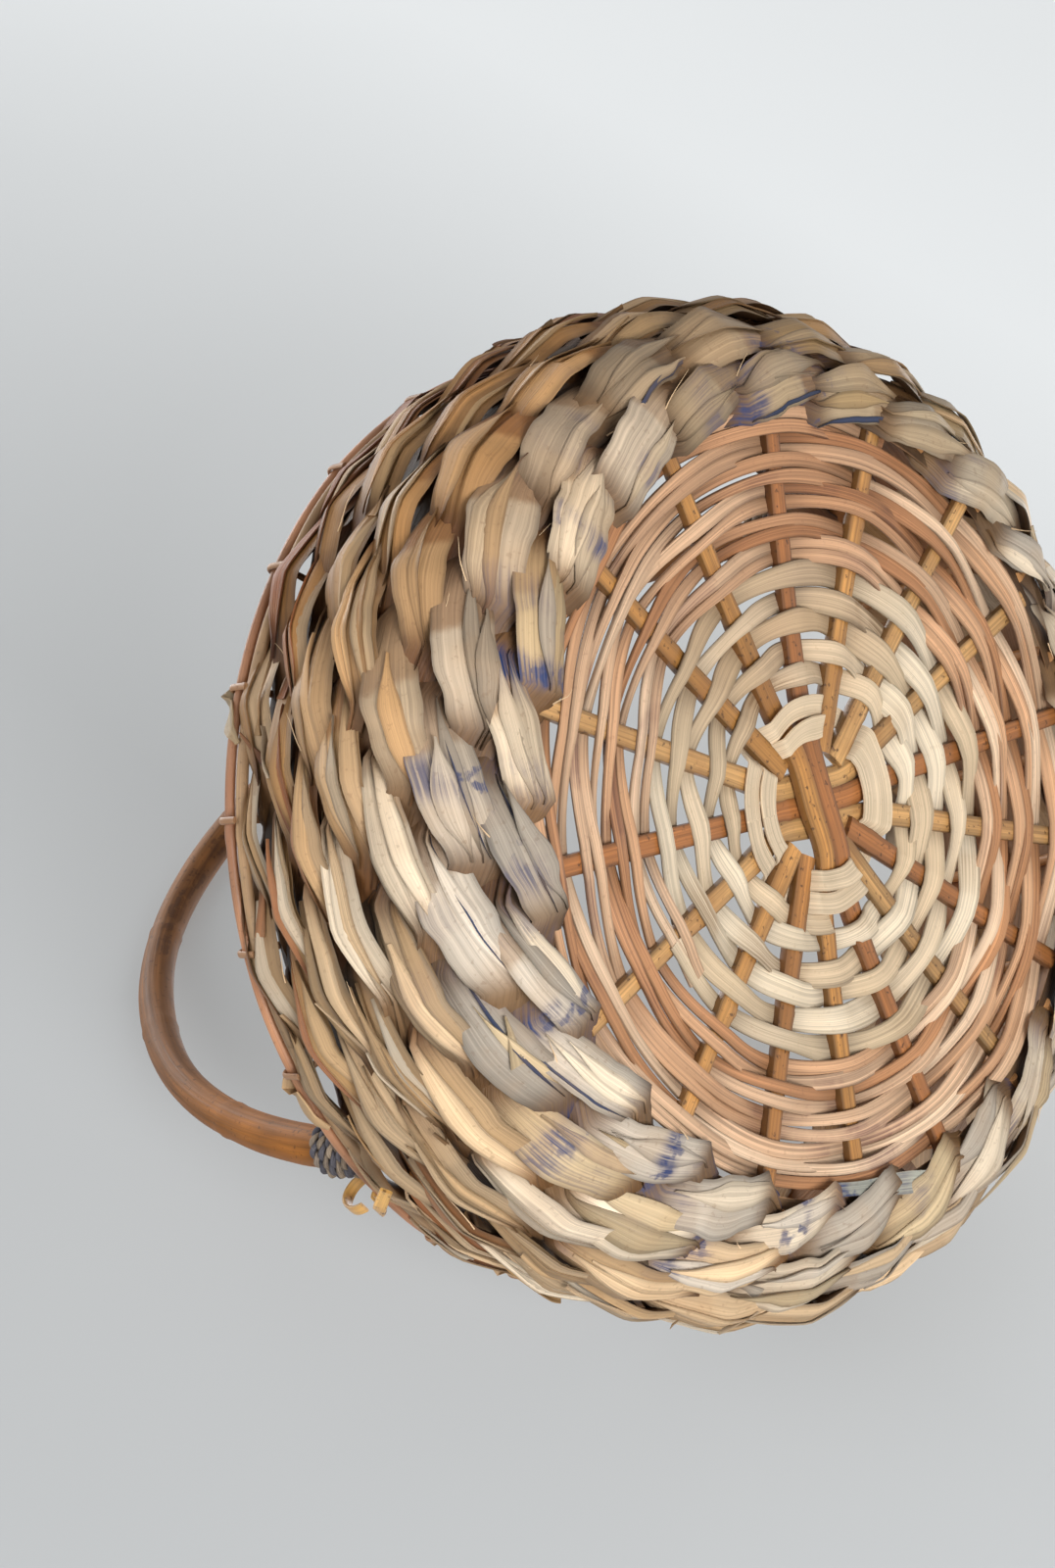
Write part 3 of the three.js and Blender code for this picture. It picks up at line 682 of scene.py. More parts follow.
# One thin leaf laid along a strand
def addLeaf(skin, face, run, leaf, twist):
    spread = np.array([1, 0.5, 0, -0.5, -1])
    acrossTop = leaf["across"][:, None] + leaf["half"][:, None] * spread
    rise = leaf["rise"][:, None] + leaf["tip"] * spread + leaf["curl"] * spread ** 2
    faceTop = face(run, acrossTop, rise)
    faceLow = face(run, acrossTop[:, ::-1], rise[:, ::-1] - wallLook["leafThick"])
    # Painted shade: a laid leaf is darker where the strand goes behind, towards its edges, and on its
    # underside
    tint = leaf["colour"] * tuckShade(run, twist)
    edge = np.concatenate([1 - 0.4 * spread ** 4, 0.6 - 0.1 * spread ** 2])
    across = np.concatenate([spread, spread[::-1]]) * leaf["half"].max() * wallLook["halfWidth"]
    addRings(skin, np.concatenate([faceTop, faceLow], axis=1), (run - run[0]) * wallLook["stitchRun"], across,
             tint[:, None, :] * edge[:, None], mark=leaf["mark"], stain=leaf["stain"])


# A leaf band between the two strands of a row, so that the wall is closed: dark on its outside, painted shade
# in the crevices, and lighter on its inside
def addCore(skin, row, seed):
    around = np.linspace(0, 2 * np.pi, 240, endpoint=False)
    lifts = (row + 0.5 + np.array([-0.54, 0.0, 0.54])) / body["rows"]
    r, z = wallPoint(np.clip(lifts, 0, 1))
    r = np.concatenate([r + 0.0002, r[::-1] - 0.0002])
    z = np.concatenate([z, z[::-1]])
    rings = polar(r[None, :], around[:, None], z[None, :])
    ring = np.sin(around) * 9 + np.cos(around) * 7
    tint = wallLook["coreShade"] * (1 + 0.3 * wander(seed + 9, ring, 0.5))[:, None]
    across = np.array([-1, 0, 1, 1, 0, -1]) * 0.006
    tint = tint[:, None, :] * np.repeat([1.0, wallLook["coreInside"]], 3)[:, None]
    addRings(skin, rings, around * 0.12, across, tint, mark=seed * 2.3, loop=True)


# One twined strand of a row, with the leaves laid over it
def leafStrand(row, letter, twist):
    twist = twist + 0.5 * math.pi * (row % 2)  # rows sit half a stitch apart
    seed = body["seed"] + row * 31 + (7 if letter == "b" else 0)
    face, shade, lift, draw = strandSpace(row, twist, seed)
    skin = newSkin()
    if letter == "a":
        addCore(skin, row, seed)
    start = (wallLook["spliceFrom"] + row * wallLook["spliceStep"]) % body["stakes"] + 1 / 3
    end = start + body["stakes"] - 0.01
    count = body["stakes"] * wallLook["perSpace"]
    turn = np.linspace(start, end, count)
    top = np.array([1, 0.86, 0.66, 0.46, 0.25, 0.05, -0.15, -0.35, -0.55, -0.75, -0.9, -1])
    low = np.array([-0.8, -0.3, 0.3, 0.8])
    taper = (0.04 + 0.96 * smooth(start, start + 0.6, turn) * smooth(end, end - 0.6, turn))[:, None]
    upper = face(turn, top * taper, 0.0)
    lower = face(turn, low * taper, 0.0, bottom=True)
    rings = np.concatenate([upper, lower], axis=1)
    across = np.concatenate([top, low]) * wallLook["halfWidth"]
    along = turn * 2 * np.pi / body["stakes"] * wallPoint(lift)[0]
    lap = np.floor((np.pi * turn + twist) / (2 * np.pi) + 0.5).astype(int)

    def stitchAngle(visit):
        return float(stakeAngle((2 * np.pi * visit - twist) / np.pi, lift))

    colours = {int(i): leafColour(row, draw, stitchAngle(i)) for i in np.unique(lap)}
    plain = np.array([colours[int(i)] for i in lap])[:, None, :]
    # Painted shade: the face takes the shade of its folds, edges and tucks, and the underside is dimmed where
    # the strand goes behind and darker at its edges
    outer = plain * shade(turn, np.tile(top, (count, 1))) * tuckShade(turn, twist)[:, None, :]
    inner = plain * tuckShade(turn + 1, twist)[:, None, :] * np.array([0.7, 0.9, 0.9, 0.7])[:, None]
    stain = stainAt(row, stakeAngle(turn, lift), seed, turn)
    reach = 1 - 0.3 * smooth(-0.1, 0.8, np.concatenate([top, low]))
    addRings(skin, rings, along, across, np.concatenate([outer, inner], axis=1), mark=seed * 1.7,
             stain=stain[:, None] * reach)
    # Leaves laid over each stitch that shows, side by side and overlapping
    firstLap = int(np.ceil((np.pi * start + twist) / (2 * np.pi)))
    lastLap = int(np.floor((np.pi * end + twist) / (2 * np.pi)))
    for visit in range(firstLap, lastLap + 1):
        middle = (2 * np.pi * visit - twist) / np.pi
        for lane in draw.sample([-0.6, -0.25, 0.1, 0.45], draw.randint(1, 2) + (1 if row > 2 else 0)):
            run = np.linspace(max(middle - draw.uniform(0.6, 0.9), start),
                              min(middle + draw.uniform(0.3, 0.9), end), 22)
            if run[-1] - run[0] < 0.25:
                continue
            share = np.linspace(0, 1, 22)
            torn = draw.random() < 0.4
            taper = smooth(0, 0.4, share) * smooth(1.0, 0.55, share)
            addLeaf(skin, face, run, {
                "across": lane + draw.uniform(-0.12, 0.12) + (share - 0.5) * draw.uniform(-0.5, 0.5),
                "half": draw.uniform(0.2, 0.5 if row < 3 else 0.4) * (0.1 + 0.9 * taper),
                "rise": draw.uniform(0.0002, 0.0009) + smooth(0.5, 1, share) * (0.0018 if torn else 0.0),
                "tip": draw.uniform(-0.0007, 0.0007),
                "curl": draw.uniform(-0.0003, 0.0004),
                "colour": leafColour(row, draw, stitchAngle(visit)) * draw.uniform(0.75, 1.12),
                "mark": draw.uniform(0, 400),
                "stain": stainAt(row, stakeAngle(run, lift), seed, run)[:, None] * draw.uniform(0.2, 0.9),
            }, twist)
        # Thin blue strips along the edges of stained stitches
        stained = max(math.cos(stitchAngle(visit) - math.radians(side)) for side in wallLook["blueSides"])
        if row < wallLook["lowRows"] and stained > 0.8 and draw.random() < wallLook["blueShare"]:
            run = np.linspace(max(middle - 0.6, start), min(middle + 0.62, end), 16)
            share = np.linspace(0, 1, 16)
            addLeaf(skin, face, run, {
                "across": draw.choice([-0.86, -0.3, 0.78]) + (share - 0.5) * draw.uniform(-0.3, 0.3),
                "half": draw.uniform(0.04, 0.1) * (0.2 + 0.8 * smooth(0, 0.3, share) * smooth(1, 0.7, share)),
                "rise": np.full(16, draw.uniform(0.0003, 0.0007)),
                "tip": 0.0002,
                "curl": 0.0002,
                "colour": wallLook["blue"] * draw.uniform(0.7, 1.5),
                "mark": draw.uniform(0, 400),
                "stain": 0.0,
            }, twist)
    # Torn leaf ends that stand off the wall, most of them near the rim
    for flap in range(2 + row):
        spotTurn = draw.uniform(start + 0.5, end - 1.2)
        run = np.linspace(spotTurn, spotTurn + draw.uniform(0.25, 0.6), 12)
        share = np.linspace(0, 1, 12)
        addLeaf(skin, face, run, {
            "across": draw.uniform(-0.7, 0.7) + share * draw.uniform(-0.9, 0.9),
            "half": draw.uniform(0.12, 0.26) * (1 - 0.85 * share),
            "rise": 0.0004 + share ** 2 * draw.uniform(0.0008, 0.003),
            "tip": draw.uniform(-0.0006, 0.0006),
            "curl": draw.uniform(-0.0003, 0.0005),
            "colour": leafColour(row, draw, float(stakeAngle(spotTurn, lift))) * draw.uniform(0.7, 0.95),
            "mark": draw.uniform(0, 400),
            "stain": 0.0,
        }, twist)
    # Loose fibres that stand off the leaf edges
    for fibre in range(wallLook["looseFibres"]):
        spotTurn = draw.uniform(start, end - 0.5)
        run = np.linspace(spotTurn, spotTurn + draw.uniform(0.1, 0.35), 6)
        share = np.linspace(0, 1, 6)
        edge = draw.choice([-1, 1]) * (0.9 + 0.35 * share)
        rise = 0.0002 + share ** 2 * draw.uniform(0.0006, 0.0026)
        line = face(run, edge[:, None], rise[:, None])
        side = np.tile([0.0, 0.0, 1.0], (6, 1))
        thick = 0.00022 * (1 - 0.8 * share)
        addRings(skin, sweepRings(line[:, 0, :], side, ovalSection(thick, thick, 4)),
                 share * 0.01, np.arange(4) * 0.0002, wallLook["straw"], mark=draw.uniform(0, 400))
    return skin


# Leaves of the top row folded over the rim hoops, at some of the stakes away from the handle
borderLook = {"halfOut": 0.0022, "halfUp": 0.0044, "halfWidth": 0.0042, "half": 0.0003, "steps": 30,
              "clear": 0.6, "share": 0.3}


def addBorderFold(skin, turn, draw):
    share = np.linspace(0, 1, borderLook["steps"])
    sweep = np.radians(draw.uniform(-60, -30)) + share * np.radians(draw.uniform(215, 265))
    middle = (lowerHoopZ + upperHoopZ) / 2
    blunt = (np.abs(np.cos(sweep)) + np.abs(np.sin(sweep))) ** -0.55
    radius = body["hoopRadius"] + borderLook["halfOut"] * np.cos(sweep) * blunt * 1.15
    z = middle + borderLook["halfUp"] * np.sin(sweep) * blunt * 1.15
    angle = stakeAngle(turn + (share - 0.5) * draw.uniform(0.35, 0.7), 1.0)
    path = polar(radius, angle, z)
    side = polar(1.0, angle + np.pi / 2, 0.0) + np.array([0, 0, draw.uniform(-0.3, 0.1)])
    wide = borderLook["halfWidth"] * draw.uniform(0.7, 1.15)
    wide = wide * (0.2 + 0.8 * smooth(0, 0.35, share) * smooth(1, 0.6, share))
    sections = stripSection(wide, borderLook["half"], draw.uniform(-0.0006, 0.0006))
    colour = wallLook[draw.choice(["straw", "tan", "olive"])] * draw.uniform(0.6, 0.95)
    # Painted shade: the fold is darker on its side inside the rim
    tint = colour * (0.75 + 0.25 * smooth(-0.6, 0.2, np.cos(sweep)))[:, None]
    addStrip(skin, path, side, sections, tint, draw.uniform(0, 400))


# A bluish leaf end tucked under the outer weaver
tuckLook = {"angles": [math.radians(118), math.radians(138)], "radii": [0.1005, 0.0955], "below": 0.0034,
            "halfWidth": 0.0029, "half": 0.00025, "colour": linear(178, 178, 164)}


def addTuckedEnd(skin):
    share = np.linspace(0, 1, 16)
    radii = np.array(tuckLook["radii"])
    ends = polar(radii, np.array(tuckLook["angles"]), baseHeight(radii) - tuckLook["below"])
    path = ends[0] + share[:, None] * (ends[1] - ends[0])
    path[:, 2] += 0.0005 * np.sin(share * 7)
    outward = path * np.array([1.0, 1.0, 0.0])
    wide = tuckLook["halfWidth"] * (0.8 + 0.2 * np.sin(share * 5 + 0.6))
    sections = stripSection(wide, tuckLook["half"], -0.0006)
    # Painted shade: darker towards the end that goes under the weaver
    tint = tuckLook["colour"] * (1 - 0.3 * share)[:, None]
    addStrip(skin, path, outward, sections, tint, 77.0, stain=(0.3 + 0.4 * share)[:, None])


borderDraw = random.Random(body["seed"])
for row in range(body["rows"]):
    for letter, twist in (("a", 0.0), ("b", math.pi)):
        skin = leafStrand(row, letter, twist)
        if row == 0 and letter == "a":
            addTuckedEnd(skin)
        if row == body["rows"] - 1:
            for turn in range(0 if letter == "a" else 1, body["stakes"], 2):
                atHandle = min(turn, body["stakes"] - turn, abs(turn - body["frontStakes"]))
                if atHandle > borderLook["clear"] and borderDraw.random() < borderLook["share"]:
                    addBorderFold(skin, turn + borderDraw.uniform(-0.2, 0.2), borderDraw)
        makePiece(f"leaf_row_{row + 1}_{letter}", skin, leafPaint, [f"wall_row_{row + 1}_strand_{letter}"],
                  sharp=32)
print("wall rows done")


# Base sticks
stickLook = {
    "halfWidth": 0.0032,
    "endHalfWidth": 0.0025,
    "half": 0.0013,
    "hubRadius": 0.027,
    "crossing": 0.013,
    "halfStart": 0.0135,
    "shift": math.asin((0.0026 + 0.0016 + 0.00035) / (0.098 - 0.014)),  # room for a stake beside each end
    "lane": 0.00555,
    "level": 0.0015,
    "colours": [linear(184, 130, 68), linear(194, 140, 78), linear(174, 118, 62), linear(166, 106, 58),
                linear(190, 146, 92)],
}
stickEnd = body["baseRadius"] - 0.00035


def stickAngle(turn):
    return aroundAngle(turn, body["sticks"], body["frontSticks"]) - body["stakeLean"] - stickLook["shift"]


def spoke(turn, radius):
    return polar(radius, stickAngle(turn), baseHeight(radius))


def stickSkin(path, seed):
    draw = random.Random(seed)
    skin = newSkin()
    run = runOf(path)
    flat = tangents(path)
    side = np.stack([-flat[:, 1], flat[:, 0], np.zeros(len(path))], axis=1)
    swell = 1 + 0.06 * wander(seed, run, 0.012)
    for knot in range(2):
        at = draw.uniform(0.1, 0.9) * run[-1]
        swell = swell + 0.09 * np.exp(-((run - at) / 0.0012) ** 2)
    reach = np.hypot(path[:, 0], path[:, 1]) / body["baseRadius"]
    width = stickLook["halfWidth"] * (1 - reach) + stickLook["endHalfWidth"] * reach
    section = stripSection(width * swell, stickLook["half"] * swell, 0.0)
    rings = sweepRings(path, side, section)
    colour = draw.choice(stickLook["colours"]) * draw.uniform(0.85, 1.1)
    shade = 1 + 0.2 * wander(seed + 9, run, 0.014)
    across = section[0, :, 0]
    # Painted shade on the stick's sides and a painted highlight along the middle of each face
    edge = np.where(np.abs(across) > 0.9 * np.abs(across).max(), 0.42, 1.0)
    edge[[3, 9]] = 1.12
    tint = (colour * shade[:, None])[:, None, :] * edge[:, None]
    addRings(skin, rings, run, across, tint, mark=seed * 3.1)
    return skin


def longStick(near, far, lane, level):
    axis = float(stickAngle(near))
    ahead = np.array([math.cos(axis), math.sin(axis), 0])
    beside = np.array([-math.sin(axis), math.cos(axis), 0])
    lift = np.array([0, 0, baseHeight(0) + level])
    reaches = [stickEnd, 0.06, stickLook["hubRadius"]]
    corners = [spoke(near + lane, radius) for radius in reaches]
    for reach in (stickLook["crossing"], 0.0, -stickLook["crossing"]):
        corners.append(ahead * reach + beside * lane * stickLook["lane"] + lift)
    corners += [spoke(far - lane, radius) for radius in reversed(reaches)]
    return smoothPath(corners, 110)


# Two bundles of long sticks cross at the hub: name, lanes, the spaces at their ends, level and seeds
longTurns = set()
for kind, lanes, near, far, level, seeds in (
    ("cross_stick", [-0.5, 0.5], 5.5, 14.5, -stickLook["level"], [299, 301]),
    ("through_stick", [-1, 0, 1], 2, 10, stickLook["level"], [319, 320, 321]),
):
    for number, lane in enumerate(lanes):
        skin = stickSkin(longStick(near, far, lane, level), seeds[number])
        makePiece(f"cane_{kind}_{number + 1}", skin, stickPaint, [f"base_{kind}_{number + 1}"])
        longTurns |= {near + lane, far - lane}
halfTurns = [turn for turn in range(body["sticks"]) if turn not in longTurns]
for number, turn in enumerate(halfTurns, 1):
    corners = [spoke(turn, radius) for radius in (stickLook["halfStart"], 0.045, 0.07, stickEnd)]
    makePiece(f"cane_half_stick_{number}", stickSkin(smoothPath(corners, 60), 340 + number), stickPaint,
              [f"base_half_stick_{number}"])
print("base sticks done")


# Base weavers
weaveLook = {
    "start": 0.0298,
    "pitch": 0.0064,
    "split": 0.062,
    "end": 0.1,
    "perSpace": 16,
    "bias": 0.15,
    "rise": 0.0019,
    "half": 0.0005,
    "closer": 0.2,
    "closeSide": math.radians(48),
    # Painted light on one side of the base and painted shade on the other
    "light": 0.16,
    "weaveShadeSide": math.radians(300),
    "dark": np.array([0.16, 0.24, 0.3]),
    "tail": 0.0035,
    "pale": {"lanes": [0.0], "halfWidth": 0.0032,
             "colours": [linear(222, 200, 170), linear(212, 188, 156), linear(232, 214, 187)]},
    "red": {"lanes": [-0.0017, 0.0017], "halfWidth": 0.0019,
            "colours": [linear(230, 198, 166), linear(206, 160, 122), linear(184, 132, 92),
                        linear(216, 178, 144)]},
}


# A weaver of one or more strips side by side, straight from over one stick to under the next
def weaverSkin(firstTurn, lastTurn, look, seed):
    draw = random.Random(seed)
    skin = newSkin()
    count = int((lastTurn - firstTurn) * weaveLook["perSpace"])
    turn = np.linspace(firstTurn, lastTurn, count)
    angle = stickAngle(turn)
    pull = 0.0008 * wander(seed, turn, 1.0) + 0.001 * wander(seed + 8, turn, 3.0)
    wave = np.arcsin(0.97 * np.cos(np.pi * turn)) / math.asin(0.97)
    wave = np.clip(wave + weaveLook["bias"], -1, 1)
    for number, lane in enumerate(look["lanes"]):
        own = seed + 40 * number
        radius = weaveLook["start"] + turn / body["sticks"] * weaveLook["pitch"] + pull + lane
        radius = radius + 0.0005 * wander(own + 1, turn, 0.9)
        z = baseHeight(radius) - weaveLook["rise"] * wave * (1 + 0.12 * wander(own + 3, turn, 1.0))
        path = polar(radius, angle, z + 0.0003 * number)
        roll = 0.22 * wander(own + 2, turn, 0.9) + 0.22 * np.sin(np.pi * turn)
        outward = polar(1.0, angle, 0.0)
        side = outward * np.cos(roll)[:, None] + np.array([0, 0, 1.0]) * np.sin(roll)[:, None]
        width = look["halfWidth"] * (1 + 0.18 * wander(own + 4, turn, 0.8))
        width = width * (1 + weaveLook["closer"] * np.cos(angle - weaveLook["closeSide"]))
        sections = stripSection(width, weaveLook["half"], (-0.0003 * wave)[:, None])
        rings = sweepRings(path, side, sections)
        space = np.floor((turn + 1) / 2).astype(int)
        shades = {int(i): draw.choice(look["colours"]) * draw.uniform(0.88, 1.1) for i in np.unique(space)}
        tint = np.array([shades[int(i)] for i in space])
        # Painted shade on one side of the base and painted light on the other
        dark = smooth(0.5, 1.0, np.cos(angle - weaveLook["weaveShadeSide"]))[:, None]
        light = smooth(0.2, 1.0, np.cos(angle - weaveLook["closeSide"]))[:, None]
        tint = tint * (1 - weaveLook["dark"] * dark) * (1 + weaveLook["light"] * light)
        # Painted shade: each face of the strip darker where it lies under a stick, and darker towards the
        # strip's edges
        below = 0.64 + 0.36 * smooth(-0.9, 0.3, wave)
        above = 0.5 + 0.5 * smooth(-0.9, 0.3, -wave)
        dim = np.stack([below] * 7 + [above] * 5, axis=1)
        across = sections[0, :, 0]
        edge = 1 - 0.6 * np.abs(across / np.abs(across).max()) ** 8
        across = across + np.array([0] * 7 + [0.01] * 5)
        stain = 0.7 * smooth(0.1, 0.9, wander(own + 6, turn, 1.3))
        tint = tint[:, None, :] * (dim * edge)[..., None]
        addRings(skin, rings, runOf(path), across, tint, mark=own, stain=stain[:, None])
    return skin


spacesPerMetre = body["sticks"] / weaveLook["pitch"]
splitTurn = round((weaveLook["split"] - weaveLook["start"]) * spacesPerMetre)
endTurn = (weaveLook["end"] - weaveLook["tail"] - weaveLook["start"]) * spacesPerMetre
makePiece("pale_weaver", weaverSkin(-2, splitTurn, weaveLook["pale"], 401), paleCanePaint,
          ["inner_base_weaver"])
makePiece("red_weaver", weaverSkin(splitTurn - 0.5, endTurn, weaveLook["red"], 402), redCanePaint,
          ["outer_base_weaver"])


# Hub binding: flat rounds over each bundle of sticks and under the short sticks between
bindingLook = {
    "rounds": [0.0192, 0.0246],
    "halfWidth": 0.0029,
    "half": 0.0005,
    "steps": 240,
    "bundles": [[2, 1.35, -0.0024], [5.5, 0.95, -0.0038], [10, 1.35, -0.0024], [14.5, 0.95, -0.0038]],
    "behind": 0.0024,
    "pass": 0.45,
}


def bindingSkin():
    skin = newSkin()
    turn = np.linspace(2, 2 + body["sticks"], bindingLook["steps"], endpoint=False)
    level = np.full(len(turn), bindingLook["behind"])
    for middle, reach, height in bindingLook["bundles"]:
        away = np.abs((turn - middle + body["sticks"] / 2) % body["sticks"] - body["sticks"] / 2)
        front = smooth(reach + bindingLook["pass"], reach, away)
        level = level * (1 - front) + height * front
    angle = stickAngle(turn)
    for number, radius in enumerate(bindingLook["rounds"]):
        reach = radius + 0.0005 * wander(511 + number, np.sin(angle) * 2 + np.cos(angle), 0.5)
        path = polar(reach, angle, baseHeight(radius) + level * (1 - 0.2 * number))
        roll = 0.25 * level / 0.004
        outward = polar(1.0, angle, 0.0)
        side = outward * np.cos(roll)[:, None] + np.array([0, 0, 1.0]) * np.sin(roll)[:, None]
        wide = bindingLook["halfWidth"] * (1 + 0.1 * wander(515 + number, np.sin(angle) * 2, 0.4))
        sections = stripSection(wide, bindingLook["half"], -0.0003)
        rings = sweepRings(path, side, sections, loop=True)
        tint = weaveLook["pale"]["colours"][0] * (1 + 0.06 * wander(520 + number, turn, 0.6))[:, None]
        addRings(skin, rings, angle * radius, sections[0, :, 0], tint[:, None, :], mark=530 + number,
                 loop=True)
    return skin


makePiece("hub_wrap", bindingSkin(), paleCanePaint, ["hub_binding"])
print("base weave done")


# Side stakes and their hooks over the rim
stakeLook = {"half": 0.0015, "hookHalf": 0.0005, "foot": 0.05, "colour": linear(196, 142, 90),
             "hook": linear(166, 126, 92), "bend": 0.0022, "inset": 0.0018, "steps": 110, "sides": 10,
             "legGap": 0.004, "hookTip": 0.0006}


def addStake(skin, turn):
    underHandle = turn in (0, body["frontStakes"])
    top = body["legTip"] - stakeLook["legGap"] if underHandle else 1.0
    line = []
    for lift in np.linspace(stakeLook["foot"], top, 7 if underHandle else 12):
        r, z = wallPoint(lift)
        line.append((float(r) - stakeLook["inset"], float(z), float(lift)))
    if not underHandle:
        middle = body["hoopRadius"]
        line.append((middle - stakeLook["bend"], lowerHoopZ, 1.0))
        for around in np.radians([180, 135, 90, 45, 0]):
            line.append((middle + stakeLook["bend"] * math.cos(around),
                         upperHoopZ + stakeLook["bend"] * math.sin(around), 1.0))
        line.append((middle + stakeLook["bend"], lowerHoopZ - stakeLook["hookTip"], 1.0))
    line = smoothPath(line, stakeLook["steps"])
    angle = stakeAngle(np.full(len(line), float(turn)), line[:, 2])
    path = polar(line[:, 0], angle, line[:, 1])
    side = polar(1.0, angle + np.pi / 2, 0.0)
    thin = smooth(lowerHoopZ - 0.006, lowerHoopZ, line[:, 1])
    half = stakeLook["half"] * (1 - thin) + stakeLook["hookHalf"] * thin
    sections = ovalSection(stakeLook["half"] * (1 - 0.4 * thin), half, stakeLook["sides"])
    rings = sweepRings(path, side, sections)
    run = runOf(path)
    colour = stakeLook["colour"] * (1 + 0.16 * wander(600 + turn, run, 0.02))[:, None]
    colour = colour * (1 - thin[:, None]) + stakeLook["hook"] * thin[:, None]
    across = np.sin(np.linspace(0, 2 * np.pi, stakeLook["sides"], endpoint=False)) * 0.0016
    addRings(skin, rings, run, across, colour[:, None, :], mark=turn * 5.3)


# Each stake belongs to the base stick that its foot is nearest to
stakeSkins = [newSkin() for stick in range(body["sticks"])]
stickSpots = aroundAngle(np.arange(body["sticks"]), body["sticks"], body["frontSticks"])
for turn in range(body["stakes"]):
    spot = aroundAngle(turn, body["stakes"], body["frontStakes"])
    nearest = int(np.argmax(np.cos(stickSpots - spot)))
    addStake(stakeSkins[nearest], turn)
for number, skin in enumerate(stakeSkins, 1):
    makePiece(f"stake_{number:02d}", skin, stakePaint, [f"side_stake_{number:02d}"])
print("stakes done")


# Rim hoops
hoopLook = {"half": 0.0014, "steps": 360, "sides": 14, "grainRadius": 0.1228, "knots": [0.7, 2.5, 3.9, 5.6],
            "red": linear(178, 128, 94), "grey": linear(166, 134, 100)}


def hoopSkin(height, colour, seed):
    skin = newSkin()
    around = np.linspace(0, 2 * np.pi, hoopLook["steps"], endpoint=False)
    ring = np.sin(around) * 3 + np.cos(around) * 2
    radius = body["hoopRadius"] + 0.0004 * wander(seed, ring, 0.45)
    z = height + 0.00035 * wander(seed + 1, ring, 0.6)
    path = polar(radius, around, z)
    side = polar(1.0, around, 0.0)
    half = hoopLook["half"] * (1 + 0.08 * wander(seed + 2, ring, 0.2))
    for knot in hoopLook["knots"]:
        half = half + 0.00035 * np.exp(-((around - knot) / 0.012) ** 2)
    rings = sweepRings(path, side, ovalSection(half, half, hoopLook["sides"]), loop=True)
    tint = colour * (1 + 0.3 * wander(seed + 3, ring, 0.18))[:, None]
    across = np.sin(np.linspace(0, 2 * np.pi, hoopLook["sides"], endpoint=False)) * 0.002
    addRings(skin, rings, around * hoopLook["grainRadius"], across, tint[:, None, :], mark=seed, loop=True)
    return skin


makePiece("rim_cane_upper", hoopSkin(upperHoopZ, hoopLook["red"], 701), redRimPaint, ["rim_hoop_upper"])
makePiece("rim_cane_lower", hoopSkin(lowerHoopZ, hoopLook["grey"], 711), greyRimPaint, ["rim_hoop_lower"])


# Handle
handleLook = {
    "half": 0.00525, "legHalfWidth": 0.0045, "legHalf": 0.0025, "tipHalfWidth": 0.00225, "tipHalf": 0.0016,
    "sides": 26, "steps": 260,
    "knots": [0.11, 0.2, 0.33, 0.42, 0.55, 0.66, 0.74, 0.87],
    # Dark worn patches as [place along, half length, turn round the cane]
    "patches": [[0.408, 0.016, 4.0], [0.436, 0.02, 4.15], [0.462, 0.018, 4.3], [0.49, 0.012, 4.4],
                [0.62, 0.02, 1.0]],
    "wornAt": 0.36, "wornReach": 0.11,
    "brown": linear(140, 94, 54), "gold": linear(166, 104, 42), "dark": linear(104, 70, 44),
}


